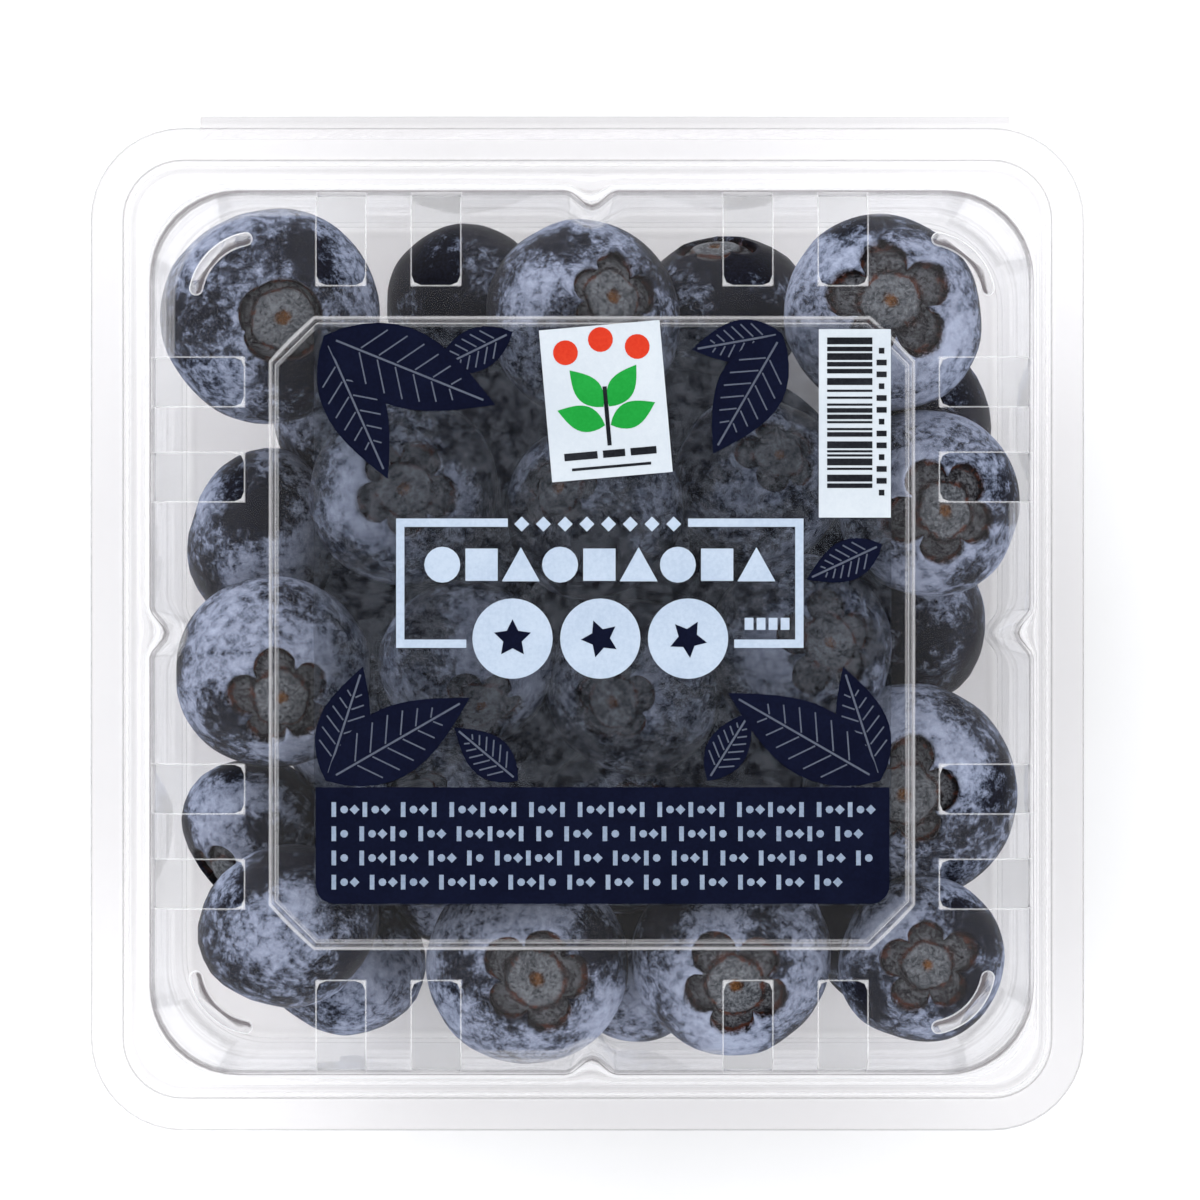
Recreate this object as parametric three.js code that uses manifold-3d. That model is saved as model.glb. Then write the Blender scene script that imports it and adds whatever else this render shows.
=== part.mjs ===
// A shut clear punnet of large blueberries with its label film and two stickers.
// Millimetres, +Z up, the hinge at the back (+Y). The origin is under the middle of the whole
// pack, at the plane that it stands on.
import * as THREE from "three";
import { mergeVertices } from "three/addons/utils/BufferGeometryUtils.js";
import Module from "manifold-3d";

const wasm = await Module();
wasm.setup();

// Driving dimensions. Places in the plan are counted from the middle of the lid.
const SHEET = 0.5;
const CLEARANCE = 0.3;
const PARTING_HEIGHT = 26;
const FLANGE = { x: 54, y: 54.5, corner: 10, leastCorner: 4, shiftX: -0.5, shiftY: 0.4 };
const OUTER_BAND = 3.4;
const BEAD_FOOT_IN = 4.1;
const BEAD_TOP_IN = 5;
const BEAD_RISE = 0.9;
const LID_WALL = { foot: 48, lean: 2, corner: 10 };
const LID_TOP_HEIGHT = 36.5;
const EDGE_ROUND = 0.9;
const PANEL = { x: 34.75, y: 34, cut: 4.7, rise: 1.2, slope: 0.5 };
const TUB_WALL = { foot: 44.5, corner: 9, round: 3, topIn: 0.4 };
const TUB_BEAD = { topIn: 4.8, topOut: 0.3, flute: 0.6 };
const FLUTE = { depth: 1.7, foot: 5.5, top: 8 };
const VENT = { width: 5.25, inner: 37.7, corner: 1, sill: 0.4, places: [-27.2, -16.9, 16.9, 27.2] };
const RIB = { x: 36.2, y: 36, radius: 6.8, width: 1.5, spanDeg: 68, rise: 0.5 };
const HINGE = { length: 88, middle: 1.4, reach: 1.3, overlap: 1.2, flatShare: 0.5, fullShare: 0.95 };
const FILM = { left: -30.1, right: 32.4, back: 33.4, front: -29.5, corner: 2, thick: 0.15 };
const SQUARE_STICKER = { x: 1.5, y: 25.1, width: 13.1, height: 16.5, turnDeg: 5, thick: 0.12 };
const BAR_STICKER = { x: 28.45, y: 22.7, width: 7.8, height: 20.4, turnDeg: 0, thick: 0.12 };
const LAYER_GAP = 0.05;

// What the heap leaves free inside the lid's wall, just above and just below the parting
const NECK = { above: 0.7, below: 0.9, halfHeight: 1 };

// Each berry that shows: its place, width, height of its middle, and where its crown faces.
const SHOWN_BERRIES = [
  { x: -35.0, y: 33.2, z: 23.5, width: 23.6, crown: [0.17, -0.05, 1] },
  { x: -1.3, y: 34.2, z: 24.0, width: 21.6, crown: [0.42, 0.28, 0.9] },
  { x: 32.0, y: 33.9, z: 24.0, width: 21.8, crown: [0.08, 0.18, 1] },
  { x: 36.6, y: 14.2, z: 24.0, width: 20.4, crown: [0.22, -0.1, 1] },
  { x: 35.4, y: -16.2, z: 24.0, width: 23.4, crown: [-0.08, -0.04, 1] },
  { x: 35.6, y: -35.4, z: 23.0, width: 18.2, crown: [0.12, -0.08, 1] },
  { x: 14.9, y: -35.4, z: 23.5, width: 21.8, crown: [0.02, -0.34, 0.95] },
  { x: -8.1, y: -35.2, z: 23.5, width: 21.8, crown: [0.12, -0.18, 1] },
  { x: -31.4, y: -32.8, z: 24.0, width: 20.0, crown: [0.3, -0.9, -0.4] },
  { x: -37.4, y: -22.6, z: 15.5, width: 17.6, crown: [-0.5, -0.7, 0.5] },
  { x: -34.4, y: -3.6, z: 24.5, width: 21.4, crown: [0.12, -0.36, 0.95] },
  { x: -20.6, y: 15.8, z: 24.5, width: 20.6, crown: [0.02, 0.02, 1] },
  { x: 0.2, y: 13.4, z: 24.0, width: 20.0, crown: [-0.5, 0.3, 0.8] },
  { x: 18.0, y: 16.4, z: 23.5, width: 19.0, crown: [0.3, 0.4, 0.85] },
  { x: 23.6, y: -3.2, z: 24.0, width: 20.6, crown: [0.4, 0.1, 0.9] },
  { x: -13.4, y: -5.0, z: 23.5, width: 19.4, crown: [0.2, -0.6, 0.75] },
  { x: 5.0, y: -6.4, z: 23.5, width: 19.4, crown: [-0.3, -0.2, 0.9] },
  { x: -16.0, y: -20.6, z: 17.5, width: 18.8, crown: [-0.2, 0.3, 0.9] },
  { x: 2.4, y: -21.4, z: 17.5, width: 18.6, crown: [0.5, 0.2, 0.8] },
  { x: 19.6, y: -20.2, z: 17.0, width: 18.8, crown: [0.1, 0.5, 0.85] },
  { x: -16.6, y: 35.4, z: 12.0, width: 18.4, crown: [0.5, 0.3, -0.8] },
  { x: 14.2, y: 35.4, z: 12.0, width: 19.0, crown: [-0.1, 0.9, 0.3] },
  { x: 34.2, y: 1.6, z: 11.0, width: 19.4, crown: [0.7, 0.3, -0.5] },
  { x: -29.4, y: -35.6, z: 10.5, width: 19.0, crown: [-0.4, -0.8, -0.3] },
  { x: -35.4, y: 13.2, z: 11.5, width: 19.6, crown: [-0.9, 0.2, -0.3] },
];
const LOWER_ROW = {
  pitch: 21.5, count: 4, z: 10, width: 19, spread: 1.2, jitter: 1.5, apart: 14.5, level: 3, crownDrop: 0.4,
};
const BERRY = { flatness: 0.84, packing: 0.92, sides: 12 };
// A berry's outline from below: latitudes of the body, then the ring and the sunk middle of its
// crown as shares of the radius and of half the height
const BODY_LATITUDES = [-62, -36, -10, 16, 42];
const CROWN_OUTLINE = [[0.5, 0.93], [0.42, 1.0], [0.28, 0.8], [0, 0.76]];
const SETTLE = {
  rounds: 160, shownHold: 0.14, lowerHold: 0.01, sink: 0.03, floor: 2.1, ceiling: 35.4, wallGap: 0.5,
};
const CORE = { half: 36.5, corner: 7, low: 6.5, high: 22 };

const CORNER_STEPS = 5;
const FLUTE_STEPS = [-1, -0.5, 0, 0.5, 1];
const DEGREE = Math.PI / 180;
// A cutter runs on past what it cuts, and points nearer than this are one
const CUT_PAST = 0.5;
const MERGE_DISTANCE = 1e-4;
// Limits on how far a fold stretches the sheet, and on how tight an inner corner gets
const LEAST_COSINE = 0.5;
const LEAST_CORNER = 0.5;

const clearSheet = new THREE.MeshStandardMaterial({
  color: 0xe9eef2, roughness: 0.08, metalness: 0, transparent: true, opacity: 0.3,
});
const filmFinish = new THREE.MeshStandardMaterial({
  color: 0x59606e, roughness: 0.3, metalness: 0, transparent: true, opacity: 0.6,
});
const paperFinish = new THREE.MeshStandardMaterial({ color: 0xf2f3f4, roughness: 0.55, metalness: 0 });
const berryFinish = new THREE.MeshStandardMaterial({ color: 0x2b3247, roughness: 0.6, metalness: 0 });

// A loop round a rounded or cut-cornered square, with an inward flute at the middle of each side
function loopOf({ x, y, corner = 0, cut = 0, flute = 0, fluteWidth = 6, shiftX = 0, shiftY = 0, z }) {
  const loop = [];
  for (let side = 0; side < 4; side++) {
    const reach = side % 2 ? y : x;
    const half = side % 2 ? x : y;
    const turn = side * Math.PI / 2;
    const place = (out, along) => loop.push(new THREE.Vector3(
      out * Math.cos(turn) - along * Math.sin(turn) + shiftX,
      out * Math.sin(turn) + along * Math.cos(turn) + shiftY,
      z,
    ));
    for (const step of FLUTE_STEPS) {
      place(reach - flute * (1 - Math.abs(step)), step * fluteWidth / 2);
    }
    for (let step = 0; step <= CORNER_STEPS; step++) {
      const share = step / CORNER_STEPS;
      if (cut > 0) {
        place(reach - cut * share, half - cut * (1 - share));
      } else {
        const angle = share * Math.PI / 2;
        place(reach - corner * (1 - Math.cos(angle)), half - corner * (1 - Math.sin(angle)));
      }
    }
  }
  return loop;
}

// A closed surface through the loops in order, with a flat cap on the first and the last
function skinOf(loops) {
  const count = loops[0].length;
  const positions = loops.flat().flatMap((point) => [point.x, point.y, point.z]);
  const faces = [];
  for (let row = 0; row + 1 < loops.length; row++) {
    for (let i = 0; i < count; i++) {
      const a = row * count + i;
      const b = row * count + (i + 1) % count;
      faces.push(a, a + count, b + count, a, b + count, b);
    }
  }
  const addCap = (loop, start, facesUp) => {
    const middle = positions.length / 3;
    const sum = loop.reduce((total, point) => total.add(point), new THREE.Vector3());
    positions.push(...sum.divideScalar(count).toArray());
    for (let i = 0; i < count; i++) {
      const next = (i + 1) % count;
      faces.push(middle, start + (facesUp ? i : next), start + (facesUp ? next : i));
    }
  };
  addCap(loops[0], 0, true);
  addCap(loops[loops.length - 1], (loops.length - 1) * count, false);
  const geometry = new THREE.BufferGeometry();
  geometry.setAttribute("position", new THREE.Float32BufferAttribute(positions, 3));
  geometry.setIndex(faces);
  return geometry;
}

// The sheet whose upper face follows a profile from the middle outwards, and its lower face under it
function sheetOf(profile, thickness) {
  const direction = (from, to) => new THREE.Vector2(to.x - from.x, to.z - from.z).normalize();
  const lower = profile.map((point, i) => {
    const before = direction(profile[Math.max(i - 1, 0)], profile[Math.max(i, 1)]);
    const last = profile.length - 1;
    const after = direction(profile[Math.min(i, last - 1)], profile[Math.min(i + 1, last)]);
    const along = before.clone().add(after).normalize();
    const stretch = thickness / Math.max(along.dot(before), LEAST_COSINE);
    const out = along.y * stretch;
    return {
      ...point,
      x: point.x + out,
      y: point.y + out,
      corner: point.corner ? Math.max(point.corner + out, LEAST_CORNER) : 0,
      cut: point.cut ? point.cut + out * (2 - Math.SQRT2) : 0,
      z: point.z - along.x * stretch,
    };
  });
  return skinOf([...profile, ...lower.reverse()].map(loopOf));
}

// Conversions between closed three.js geometry and solids that can be joined and cut
function solidOf(geometry) {
  const bare = geometry.clone();
  bare.deleteAttribute("normal");
  bare.deleteAttribute("uv");
  const merged = mergeVertices(bare, MERGE_DISTANCE);
  const index = merged.index.array;
  const faces = [];
  for (let i = 0; i < index.length; i += 3) {
    const [a, b, c] = [index[i], index[i + 1], index[i + 2]];
    if (a !== b && b !== c && c !== a) {
      faces.push(a, b, c);
    }
  }
  return new wasm.Manifold(new wasm.Mesh({
    numProp: 3,
    vertProperties: new Float32Array(merged.attributes.position.array),
    triVerts: new Uint32Array(faces),
  }));
}

function geometryOf(solid) {
  const mesh = solid.getMesh();
  const geometry = new THREE.BufferGeometry();
  geometry.setAttribute("position", new THREE.BufferAttribute(new Float32Array(mesh.vertProperties), 3));
  geometry.setIndex(new THREE.BufferAttribute(new Uint32Array(mesh.triVerts), 1));
  geometry.computeVertexNormals();
  return geometry;
}

// The band of both halves outside the walls, with the bead that snaps the lid over the tub
function flangeLoop(inset, z) {
  const { x, y, corner, leastCorner, shiftX, shiftY } = FLANGE;
  return { x: x - inset, y: y - inset, corner: Math.max(corner - inset, leastCorner), shiftX, shiftY, z };
}

function wallLoop(half, corner, fluteWidth, z) {
  return { x: half, y: half, corner, flute: FLUTE.depth, fluteWidth, z };
}

function panelLoop(inset, z) {
  return { x: PANEL.x - inset, y: PANEL.y - inset, cut: PANEL.cut, z };
}

// Half of the folded strip at the back, as an extrusion along X with a rounded outer face
function hingeStrip(isLid) {
  const side = isLid ? 1 : -1;
  const edge = FLANGE.y + FLANGE.shiftY;
  const near = CLEARANCE / 2 * side;
  const far = (CLEARANCE / 2 + SHEET) * side;
  const section = new THREE.Shape();
  section.moveTo(edge - HINGE.overlap, near);
  section.lineTo(edge + HINGE.reach * HINGE.flatShare, near);
  section.lineTo(edge + HINGE.reach, near / 3);
  section.quadraticCurveTo(edge + HINGE.reach * HINGE.fullShare, far, edge, far);
  section.lineTo(edge - HINGE.overlap, far);
  section.closePath();
  const strip = new THREE.ExtrudeGeometry(section, {
    depth: HINGE.length, bevelEnabled: false, curveSegments: 5, steps: 1,
  });
  // The section's x and y become the pack's Y and Z, and its depth runs along X
  strip.applyMatrix4(new THREE.Matrix4().makeBasis(
    new THREE.Vector3(0, 1, 0), new THREE.Vector3(0, 0, 1), new THREE.Vector3(1, 0, 0),
  ));
  strip.translate(HINGE.middle - HINGE.length / 2, 0, PARTING_HEIGHT);
  return strip;
}

// One vent of the lid on the side that faces +Y, open through the wall and the edge of the top
function ventCut(place, turn) {
  const { width, inner, corner, sill } = VENT;
  const plan = new THREE.Shape();
  plan.moveTo(place + width / 2, LID_WALL.foot + CUT_PAST);
  plan.lineTo(place - width / 2, LID_WALL.foot + CUT_PAST);
  plan.lineTo(place - width / 2, inner + corner);
  plan.absarc(place - width / 2 + corner, inner + corner, corner, Math.PI, Math.PI * 1.5, false);
  plan.absarc(place + width / 2 - corner, inner + corner, corner, Math.PI * 1.5, Math.PI * 2, false);
  plan.closePath();
  const low = PARTING_HEIGHT + CLEARANCE / 2 + SHEET + BEAD_RISE + sill;
  const cut = new THREE.ExtrudeGeometry(plan, {
    depth: LID_TOP_HEIGHT + CUT_PAST - low, bevelEnabled: false, curveSegments: 3,
  });
  cut.translate(0, 0, low);
  cut.rotateZ(turn);
  return cut;
}

// A raised kidney-shaped rib near one corner of the lid's top
function cornerRib(signX, signY) {
  const outward = Math.atan2(signY, signX);
  const span = RIB.spanDeg * DEGREE / 2;
  const [start, end] = [outward - span, outward + span];
  const half = RIB.width / 2;
  const middleOf = (angle) => [Math.cos(angle) * RIB.radius, Math.sin(angle) * RIB.radius];
  const plan = new THREE.Shape();
  plan.absarc(0, 0, RIB.radius + half, start, end, false);
  plan.absarc(...middleOf(end), half, end, end + Math.PI, false);
  plan.absarc(0, 0, RIB.radius - half, end, start, true);
  plan.absarc(...middleOf(start), half, start + Math.PI, start + Math.PI * 2, false);
  const rib = new THREE.ExtrudeGeometry(plan, {
    depth: RIB.rise + SHEET / 2, bevelEnabled: false, curveSegments: 4,
  });
  rib.translate(signX * RIB.x, signY * RIB.y, LID_TOP_HEIGHT - SHEET / 2);
  return rib;
}

function makeTub() {
  const flangeTop = PARTING_HEIGHT - CLEARANCE / 2;
  const beadTop = flangeTop + BEAD_RISE;
  const beadOuter = LID_WALL.foot + TUB_BEAD.topOut;
  const { foot, corner, round, topIn } = TUB_WALL;
  const bend = round * (1 - Math.SQRT1_2);
  const profile = [
    panelLoop(PANEL.slope * 2, SHEET + PANEL.rise),
    panelLoop(0, SHEET),
    { ...wallLoop(foot - round, corner - round / 2, FLUTE.foot, SHEET), flute: 0 },
    { ...wallLoop(foot - bend, corner, FLUTE.foot, SHEET + bend), flute: FLUTE.depth / 2 },
    wallLoop(foot, corner, FLUTE.foot, SHEET + round),
    wallLoop(LID_WALL.foot - topIn, LID_WALL.corner, FLUTE.foot, beadTop),
    { ...wallLoop(beadOuter, LID_WALL.corner, FLUTE.foot, beadTop), flute: TUB_BEAD.flute },
    flangeLoop(TUB_BEAD.topIn, flangeTop),
    flangeLoop(OUTER_BAND, flangeTop),
    flangeLoop(0, flangeTop),
  ];
  return solidOf(sheetOf(profile, SHEET)).add(solidOf(hingeStrip(false)));
}

function makeLid() {
  const flangeTop = PARTING_HEIGHT + CLEARANCE / 2 + SHEET;
  const wallTop = LID_WALL.foot - LID_WALL.lean;
  const { foot, corner } = LID_WALL;
  const profile = [
    panelLoop(PANEL.slope, LID_TOP_HEIGHT + PANEL.rise),
    panelLoop(0, LID_TOP_HEIGHT),
    wallLoop(wallTop - EDGE_ROUND, corner - EDGE_ROUND, FLUTE.top, LID_TOP_HEIGHT),
    wallLoop(wallTop, corner, FLUTE.top, LID_TOP_HEIGHT - EDGE_ROUND),
    wallLoop(foot, corner, FLUTE.foot, flangeTop + BEAD_RISE),
    flangeLoop(BEAD_TOP_IN, flangeTop + BEAD_RISE),
    flangeLoop(BEAD_FOOT_IN, flangeTop),
    flangeLoop(0, flangeTop),
  ];
  let lid = solidOf(sheetOf(profile, SHEET)).add(solidOf(hingeStrip(true)));
  for (let side = 0; side < 4; side++) {
    for (const place of VENT.places) {
      lid = lid.subtract(solidOf(ventCut(place, side * Math.PI / 2)));
    }
  }
  for (const [signX, signY] of [[1, 1], [-1, 1], [-1, -1], [1, -1]]) {
    lid = lid.add(solidOf(cornerRib(signX, signY)));
  }
  return lid;
}

function makeFilm() {
  const { left, right, back, front, corner, thick } = FILM;
  const plan = new THREE.Shape();
  plan.moveTo(left, back);
  plan.lineTo(left, front + corner);
  plan.absarc(left + corner, front + corner, corner, Math.PI, Math.PI * 1.5, false);
  plan.absarc(right - corner, front + corner, corner, Math.PI * 1.5, Math.PI * 2, false);
  plan.lineTo(right, back);
  plan.closePath();
  return new THREE.ExtrudeGeometry(plan, { depth: thick, bevelEnabled: false, curveSegments: 5 });
}

function makeSticker({ width, height, thick }) {
  return new THREE.BoxGeometry(width, height, thick).translate(0, 0, thick / 2);
}

// A repeatable draw of numbers from 0 to 1
function seededDraw(seed) {
  let state = seed;
  return () => {
    state = (state * 16807) % 2147483647;
    return state / 2147483647;
  };
}

// The half-width that the walls leave at a height
function roomAt(z) {
  const inLid = z > PARTING_HEIGHT;
  const share = inLid
    ? (z - PARTING_HEIGHT) / (LID_TOP_HEIGHT - PARTING_HEIGHT)
    : 1 - z / PARTING_HEIGHT;
  const narrowing = inLid ? LID_WALL.lean : LID_WALL.foot - TUB_WALL.foot;
  return LID_WALL.foot - SHEET - narrowing * share - SETTLE.wallGap;
}

// The shown berries and the row under them, pushed apart until they lie side by side in the pack
function settledBerries() {
  const draw = seededDraw(41);
  const berryAt = (berry, hold) => ({ ...berry, homeX: berry.x, homeY: berry.y, hold });
  const berries = SHOWN_BERRIES.map((berry) => berryAt(berry, SETTLE.shownHold));
  const shownCount = berries.length;
  const { pitch, count, width, spread, jitter, apart, level, crownDrop } = LOWER_ROW;
  for (let row = 0; row < count; row++) {
    for (let column = 0; column < count; column++) {
      const x = (column - (count - 1) / 2) * pitch + (draw() - 0.5) * 2 * jitter;
      const y = (row - (count - 1) / 2) * pitch + (draw() - 0.5) * 2 * jitter;
      const size = width + (draw() - 0.5) * 2 * spread;
      const crown = [draw() * 2 - 1, draw() * 2 - 1, draw() * 2 - 1 - crownDrop];
      const isTaken = berries.slice(0, shownCount).some((other) => (
        other.z < LOWER_ROW.z + level && Math.hypot(other.x - x, other.y - y) < apart
      ));
      if (!isTaken) {
        berries.push(berryAt({ x, y, z: LOWER_ROW.z, width: size, crown }, SETTLE.lowerHold));
      }
    }
  }
  for (let round = 0; round < SETTLE.rounds; round++) {
    for (const berry of berries) {
      berry.x += (berry.homeX - berry.x) * berry.hold;
      berry.y += (berry.homeY - berry.y) * berry.hold;
      berry.z -= SETTLE.sink;
    }
    for (let i = 0; i < berries.length; i++) {
      for (let j = 0; j < i; j++) {
        const [a, b] = [berries[i], berries[j]];
        const [dx, dy, dz] = [a.x - b.x, a.y - b.y, a.z - b.z];
        const distance = Math.sqrt(dx * dx + dy * dy + dz * dz);
        const wanted = (a.width + b.width) / 2 * BERRY.packing;
        if (distance < wanted) {
          const push = (wanted - distance) / distance / 2;
          a.x += dx * push;
          a.y += dy * push;
          a.z += dz * push;
          b.x -= dx * push;
          b.y -= dy * push;
          b.z -= dz * push;
        }
      }
    }
    for (const berry of berries) {
      const radius = berry.width / 2;
      const room = roomAt(berry.z) - radius;
      const high = SETTLE.ceiling - radius * BERRY.packing;
      berry.x = Math.min(Math.max(berry.x, -room), room);
      berry.y = Math.min(Math.max(berry.y, -room), room);
      berry.z = Math.min(Math.max(berry.z, SETTLE.floor + radius * BERRY.packing), high);
    }
  }
  return berries;
}

// A flattened ball with the raised ring and the sunk middle of its crown
function berryGeometry({ x, y, z, width, crown }) {
  const radius = width / 2;
  const half = radius * BERRY.flatness;
  const profile = [[0, -1]];
  for (const latitude of BODY_LATITUDES) {
    profile.push([Math.cos(latitude * DEGREE), Math.sin(latitude * DEGREE)]);
  }
  profile.push(...CROWN_OUTLINE);
  const points = profile.map(([out, up]) => new THREE.Vector2(out * radius, up * half));
  const geometry = new THREE.LatheGeometry(points, BERRY.sides);
  const facing = new THREE.Vector3(...crown).normalize();
  geometry.applyQuaternion(new THREE.Quaternion().setFromUnitVectors(new THREE.Vector3(0, 1, 0), facing));
  return geometry.translate(x, y, z);
}

// The space between the walls, a little inside them, which the heap keeps to
function cavityGeometry() {
  const inset = SHEET + CLEARANCE;
  const wallAt = (half, width, z) => wallLoop(half - inset, LID_WALL.corner - inset, width, z);
  return skinOf([
    wallAt(LID_WALL.foot - LID_WALL.lean - EDGE_ROUND, FLUTE.top, LID_TOP_HEIGHT - inset),
    wallAt(LID_WALL.foot - NECK.above, FLUTE.foot, PARTING_HEIGHT + NECK.halfHeight),
    wallAt(LID_WALL.foot - NECK.below, FLUTE.foot, PARTING_HEIGHT - NECK.halfHeight),
    wallAt(TUB_WALL.foot, FLUTE.foot, TUB_WALL.round + inset),
    { ...wallAt(TUB_WALL.foot - TUB_WALL.round, FLUTE.foot, SHEET + PANEL.rise + CLEARANCE), flute: 0 },
  ].map(loopOf));
}

function makeHeap() {
  const { half, corner, low, high } = CORE;
  let heap = solidOf(skinOf([
    { x: half, y: half, corner, z: high },
    { x: half, y: half, corner, z: low },
  ].map(loopOf)));
  for (const berry of settledBerries()) {
    heap = heap.add(solidOf(berryGeometry(berry)));
  }
  return heap.intersect(solidOf(cavityGeometry()));
}

// The pack, with its middle over the origin
const pack = new THREE.Group();
pack.position.set(-FLANGE.shiftX, -(FLANGE.shiftY + HINGE.reach / 2), 0);

function addPiece(name, geometry, material, { x = 0, y = 0, z = 0, turnDeg = 0 } = {}) {
  const mesh = new THREE.Mesh(geometry, material);
  mesh.name = name;
  mesh.position.set(x, y, z);
  mesh.rotation.z = turnDeg * DEGREE;
  pack.add(mesh);
}

const filmHeight = LID_TOP_HEIGHT + PANEL.rise + LAYER_GAP;
const stickerHeight = filmHeight + FILM.thick + LAYER_GAP;
addPiece("tub", geometryOf(makeTub()), clearSheet);
addPiece("lid", geometryOf(makeLid()), clearSheet);
addPiece("berries", geometryOf(makeHeap()), berryFinish);
addPiece("label_film", makeFilm(), filmFinish, { z: filmHeight });
addPiece("square_sticker", makeSticker(SQUARE_STICKER), paperFinish, { ...SQUARE_STICKER, z: stickerHeight });
addPiece("bar_sticker", makeSticker(BAR_STICKER), paperFinish, { ...BAR_STICKER, z: stickerHeight });

export default pack;
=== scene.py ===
"""A shut clear punnet of large blueberries with its label and stickers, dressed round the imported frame."""
import math
import random
from typing import NamedTuple

import bmesh
import bpy
from mathutils import Matrix, Vector, noise


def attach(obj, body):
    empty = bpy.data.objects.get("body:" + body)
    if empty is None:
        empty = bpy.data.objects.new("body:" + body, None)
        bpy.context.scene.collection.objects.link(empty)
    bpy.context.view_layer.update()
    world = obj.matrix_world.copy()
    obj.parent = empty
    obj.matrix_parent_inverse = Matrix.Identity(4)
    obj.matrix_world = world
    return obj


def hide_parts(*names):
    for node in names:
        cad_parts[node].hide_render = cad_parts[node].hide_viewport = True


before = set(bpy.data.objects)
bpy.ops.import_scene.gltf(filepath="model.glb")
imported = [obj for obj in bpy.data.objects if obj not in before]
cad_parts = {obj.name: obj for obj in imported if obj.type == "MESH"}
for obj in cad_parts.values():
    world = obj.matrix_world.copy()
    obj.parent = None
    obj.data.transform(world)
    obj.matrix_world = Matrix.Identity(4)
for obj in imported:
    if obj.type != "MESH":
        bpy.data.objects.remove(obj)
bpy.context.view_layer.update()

# Sizes in millimetres, counted from the middle of the lid, as in the part's source
SHEET = 0.5
CLEARANCE = 0.3
PARTING = 26
FLANGE_X, FLANGE_Y, FLANGE_CORNER = 54, 54.5, 10
FLANGE_SHIFT_X, FLANGE_SHIFT_Y = -0.5, 0.4
FLANGE_LEAST_CORNER, OUTER_BAND = 4, 3.4
BEAD_FOOT_IN, BEAD_TOP_IN, BEAD_RISE = 4.1, 5, 0.9
WALL_FOOT, WALL_LEAN, WALL_CORNER = 48, 2, 10
LID_TOP = 36.5
EDGE_ROUND = 0.9
PANEL_X, PANEL_Y, PANEL_CUT, PANEL_RISE, PANEL_SLOPE = 34.75, 34, 4.7, 1.2, 0.5
PANEL_CUT_NARROWS, MIDDLE_INSET = 0.4, 3
TUB_FOOT, TUB_CORNER, TUB_ROUND = 44.5, 9, 3
TUB_WALL_TOP_IN, TUB_BEAD_TOP_IN, TUB_BEAD_TOP_OUT, TUB_BEAD_FLUTE = 0.4, 4.8, 0.3, 0.6
FLUTE_DEPTH, FLUTE_FOOT, FLUTE_TOP = 1.7, 5.5, 8
VENT_WIDTH, VENT_INNER, VENT_CORNER, VENT_SILL, EDGE_LINE = 5.25, 37.7, 1, 0.06, 0.2
VENT_ROW_CORNER, VENT_END_CORNER, TOP_ROW_CORNER, TOP_ROW_IN, TOP_ROW_FLUTE = 6.5, 7, 8.5, 1.2, 1
VENT_PLACES = (-27.2, -16.9, 16.9, 27.2)
RIB_X, RIB_Y, RIB_RADIUS, RIB_WIDTH, RIB_SPAN, RIB_RISE = 36.2, 36, 6.8, 1.5, 68, 0.5
RIB_ARC_STEPS, RIB_END_STEPS = 12, 6
# A rib's straight foot, the width and rise of each step of its round, where its top begins, with
# rises as shares of its own, and how far inside its middle line the top takes painted shade
RIB_FOOT, RIB_ROUND, RIB_TOP_FROM, RIB_SHADE_FROM = 0.55, ((0.2, 0.3), (0.25, 0.15)), 0.8, 0.1
HINGE_LENGTH, HINGE_MIDDLE, HINGE_REACH, HINGE_OVERLAP, HINGE_GAP = 88, 1.4, 1.3, 1.2, 0.03
HINGE_FLAT_SHARE, HINGE_FULL_SHARE, HINGE_TIP_SHARE, HINGE_STEPS = 0.5, 0.95, 1 / 3, 8
FILM_LEFT, FILM_RIGHT, FILM_BACK, FILM_FRONT = -30.1, 32.4, 33.4, -29.5
FILM_CORNER, FILM_CORNER_STEPS, FILM_THICK, LAYER_GAP = 2, 6, 0.15, 0.05
# The paper is thinner than the solid that it replaces, so that the ink fits in too
STICKER_THICK, INK_THICK, INK_LIFT = 0.09, 0.01, 0.01
SQUARE_X, SQUARE_Y, SQUARE_WIDTH, SQUARE_HEIGHT, SQUARE_TURN = 1.5, 25.1, 13.1, 16.5, 5
BAR_X, BAR_Y, BAR_WIDTH, BAR_HEIGHT = 28.45, 22.7, 7.8, 20.4
FILM_HEIGHT = LID_TOP + PANEL_RISE + LAYER_GAP
FILM_TOP = FILM_HEIGHT + FILM_THICK
STICKER_HEIGHT = FILM_TOP + LAYER_GAP
STICKER_TOP = STICKER_HEIGHT + STICKER_THICK

# The photograph's frame: the millimetres that its width spans, and what its middle looks at
PHOTO_WIDTH, PHOTO_MIDDLE_X, PHOTO_MIDDLE_Y = 130.3, 0.87, 3.58
CAMERA_HEIGHT, MEASURED_HEIGHT, SENSOR_WIDTH, CLEAR_BOUNCES = 2500, 30, 36, 32

# The floor, a hair under the pack: its half-width is in metres
FLOOR_GAP, FLOOR_GLOW, FLOOR_HALF = 0.05, 0.12, 3

# The studio: cones are given by the cosines of their edges
STUDIO_LIGHT, ZENITH_DIMMING, ZENITH_CONE = 1.3, 1.05, (0.8, 0.96)
SOFT_AREAS = (
    ((-0.6, 0.62, 0.5), (0.82, 0.94), 2.0),
    ((0.85, -0.3, 0.5), (0.84, 0.95), 1.1),
)

MM = 0.001
PACK_PLACE = Matrix.Scale(MM, 4) @ Matrix.Translation(
    (-FLANGE_SHIFT_X, -(FLANGE_SHIFT_Y + HINGE_REACH / 2), 0)
)


# Making pieces

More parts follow.
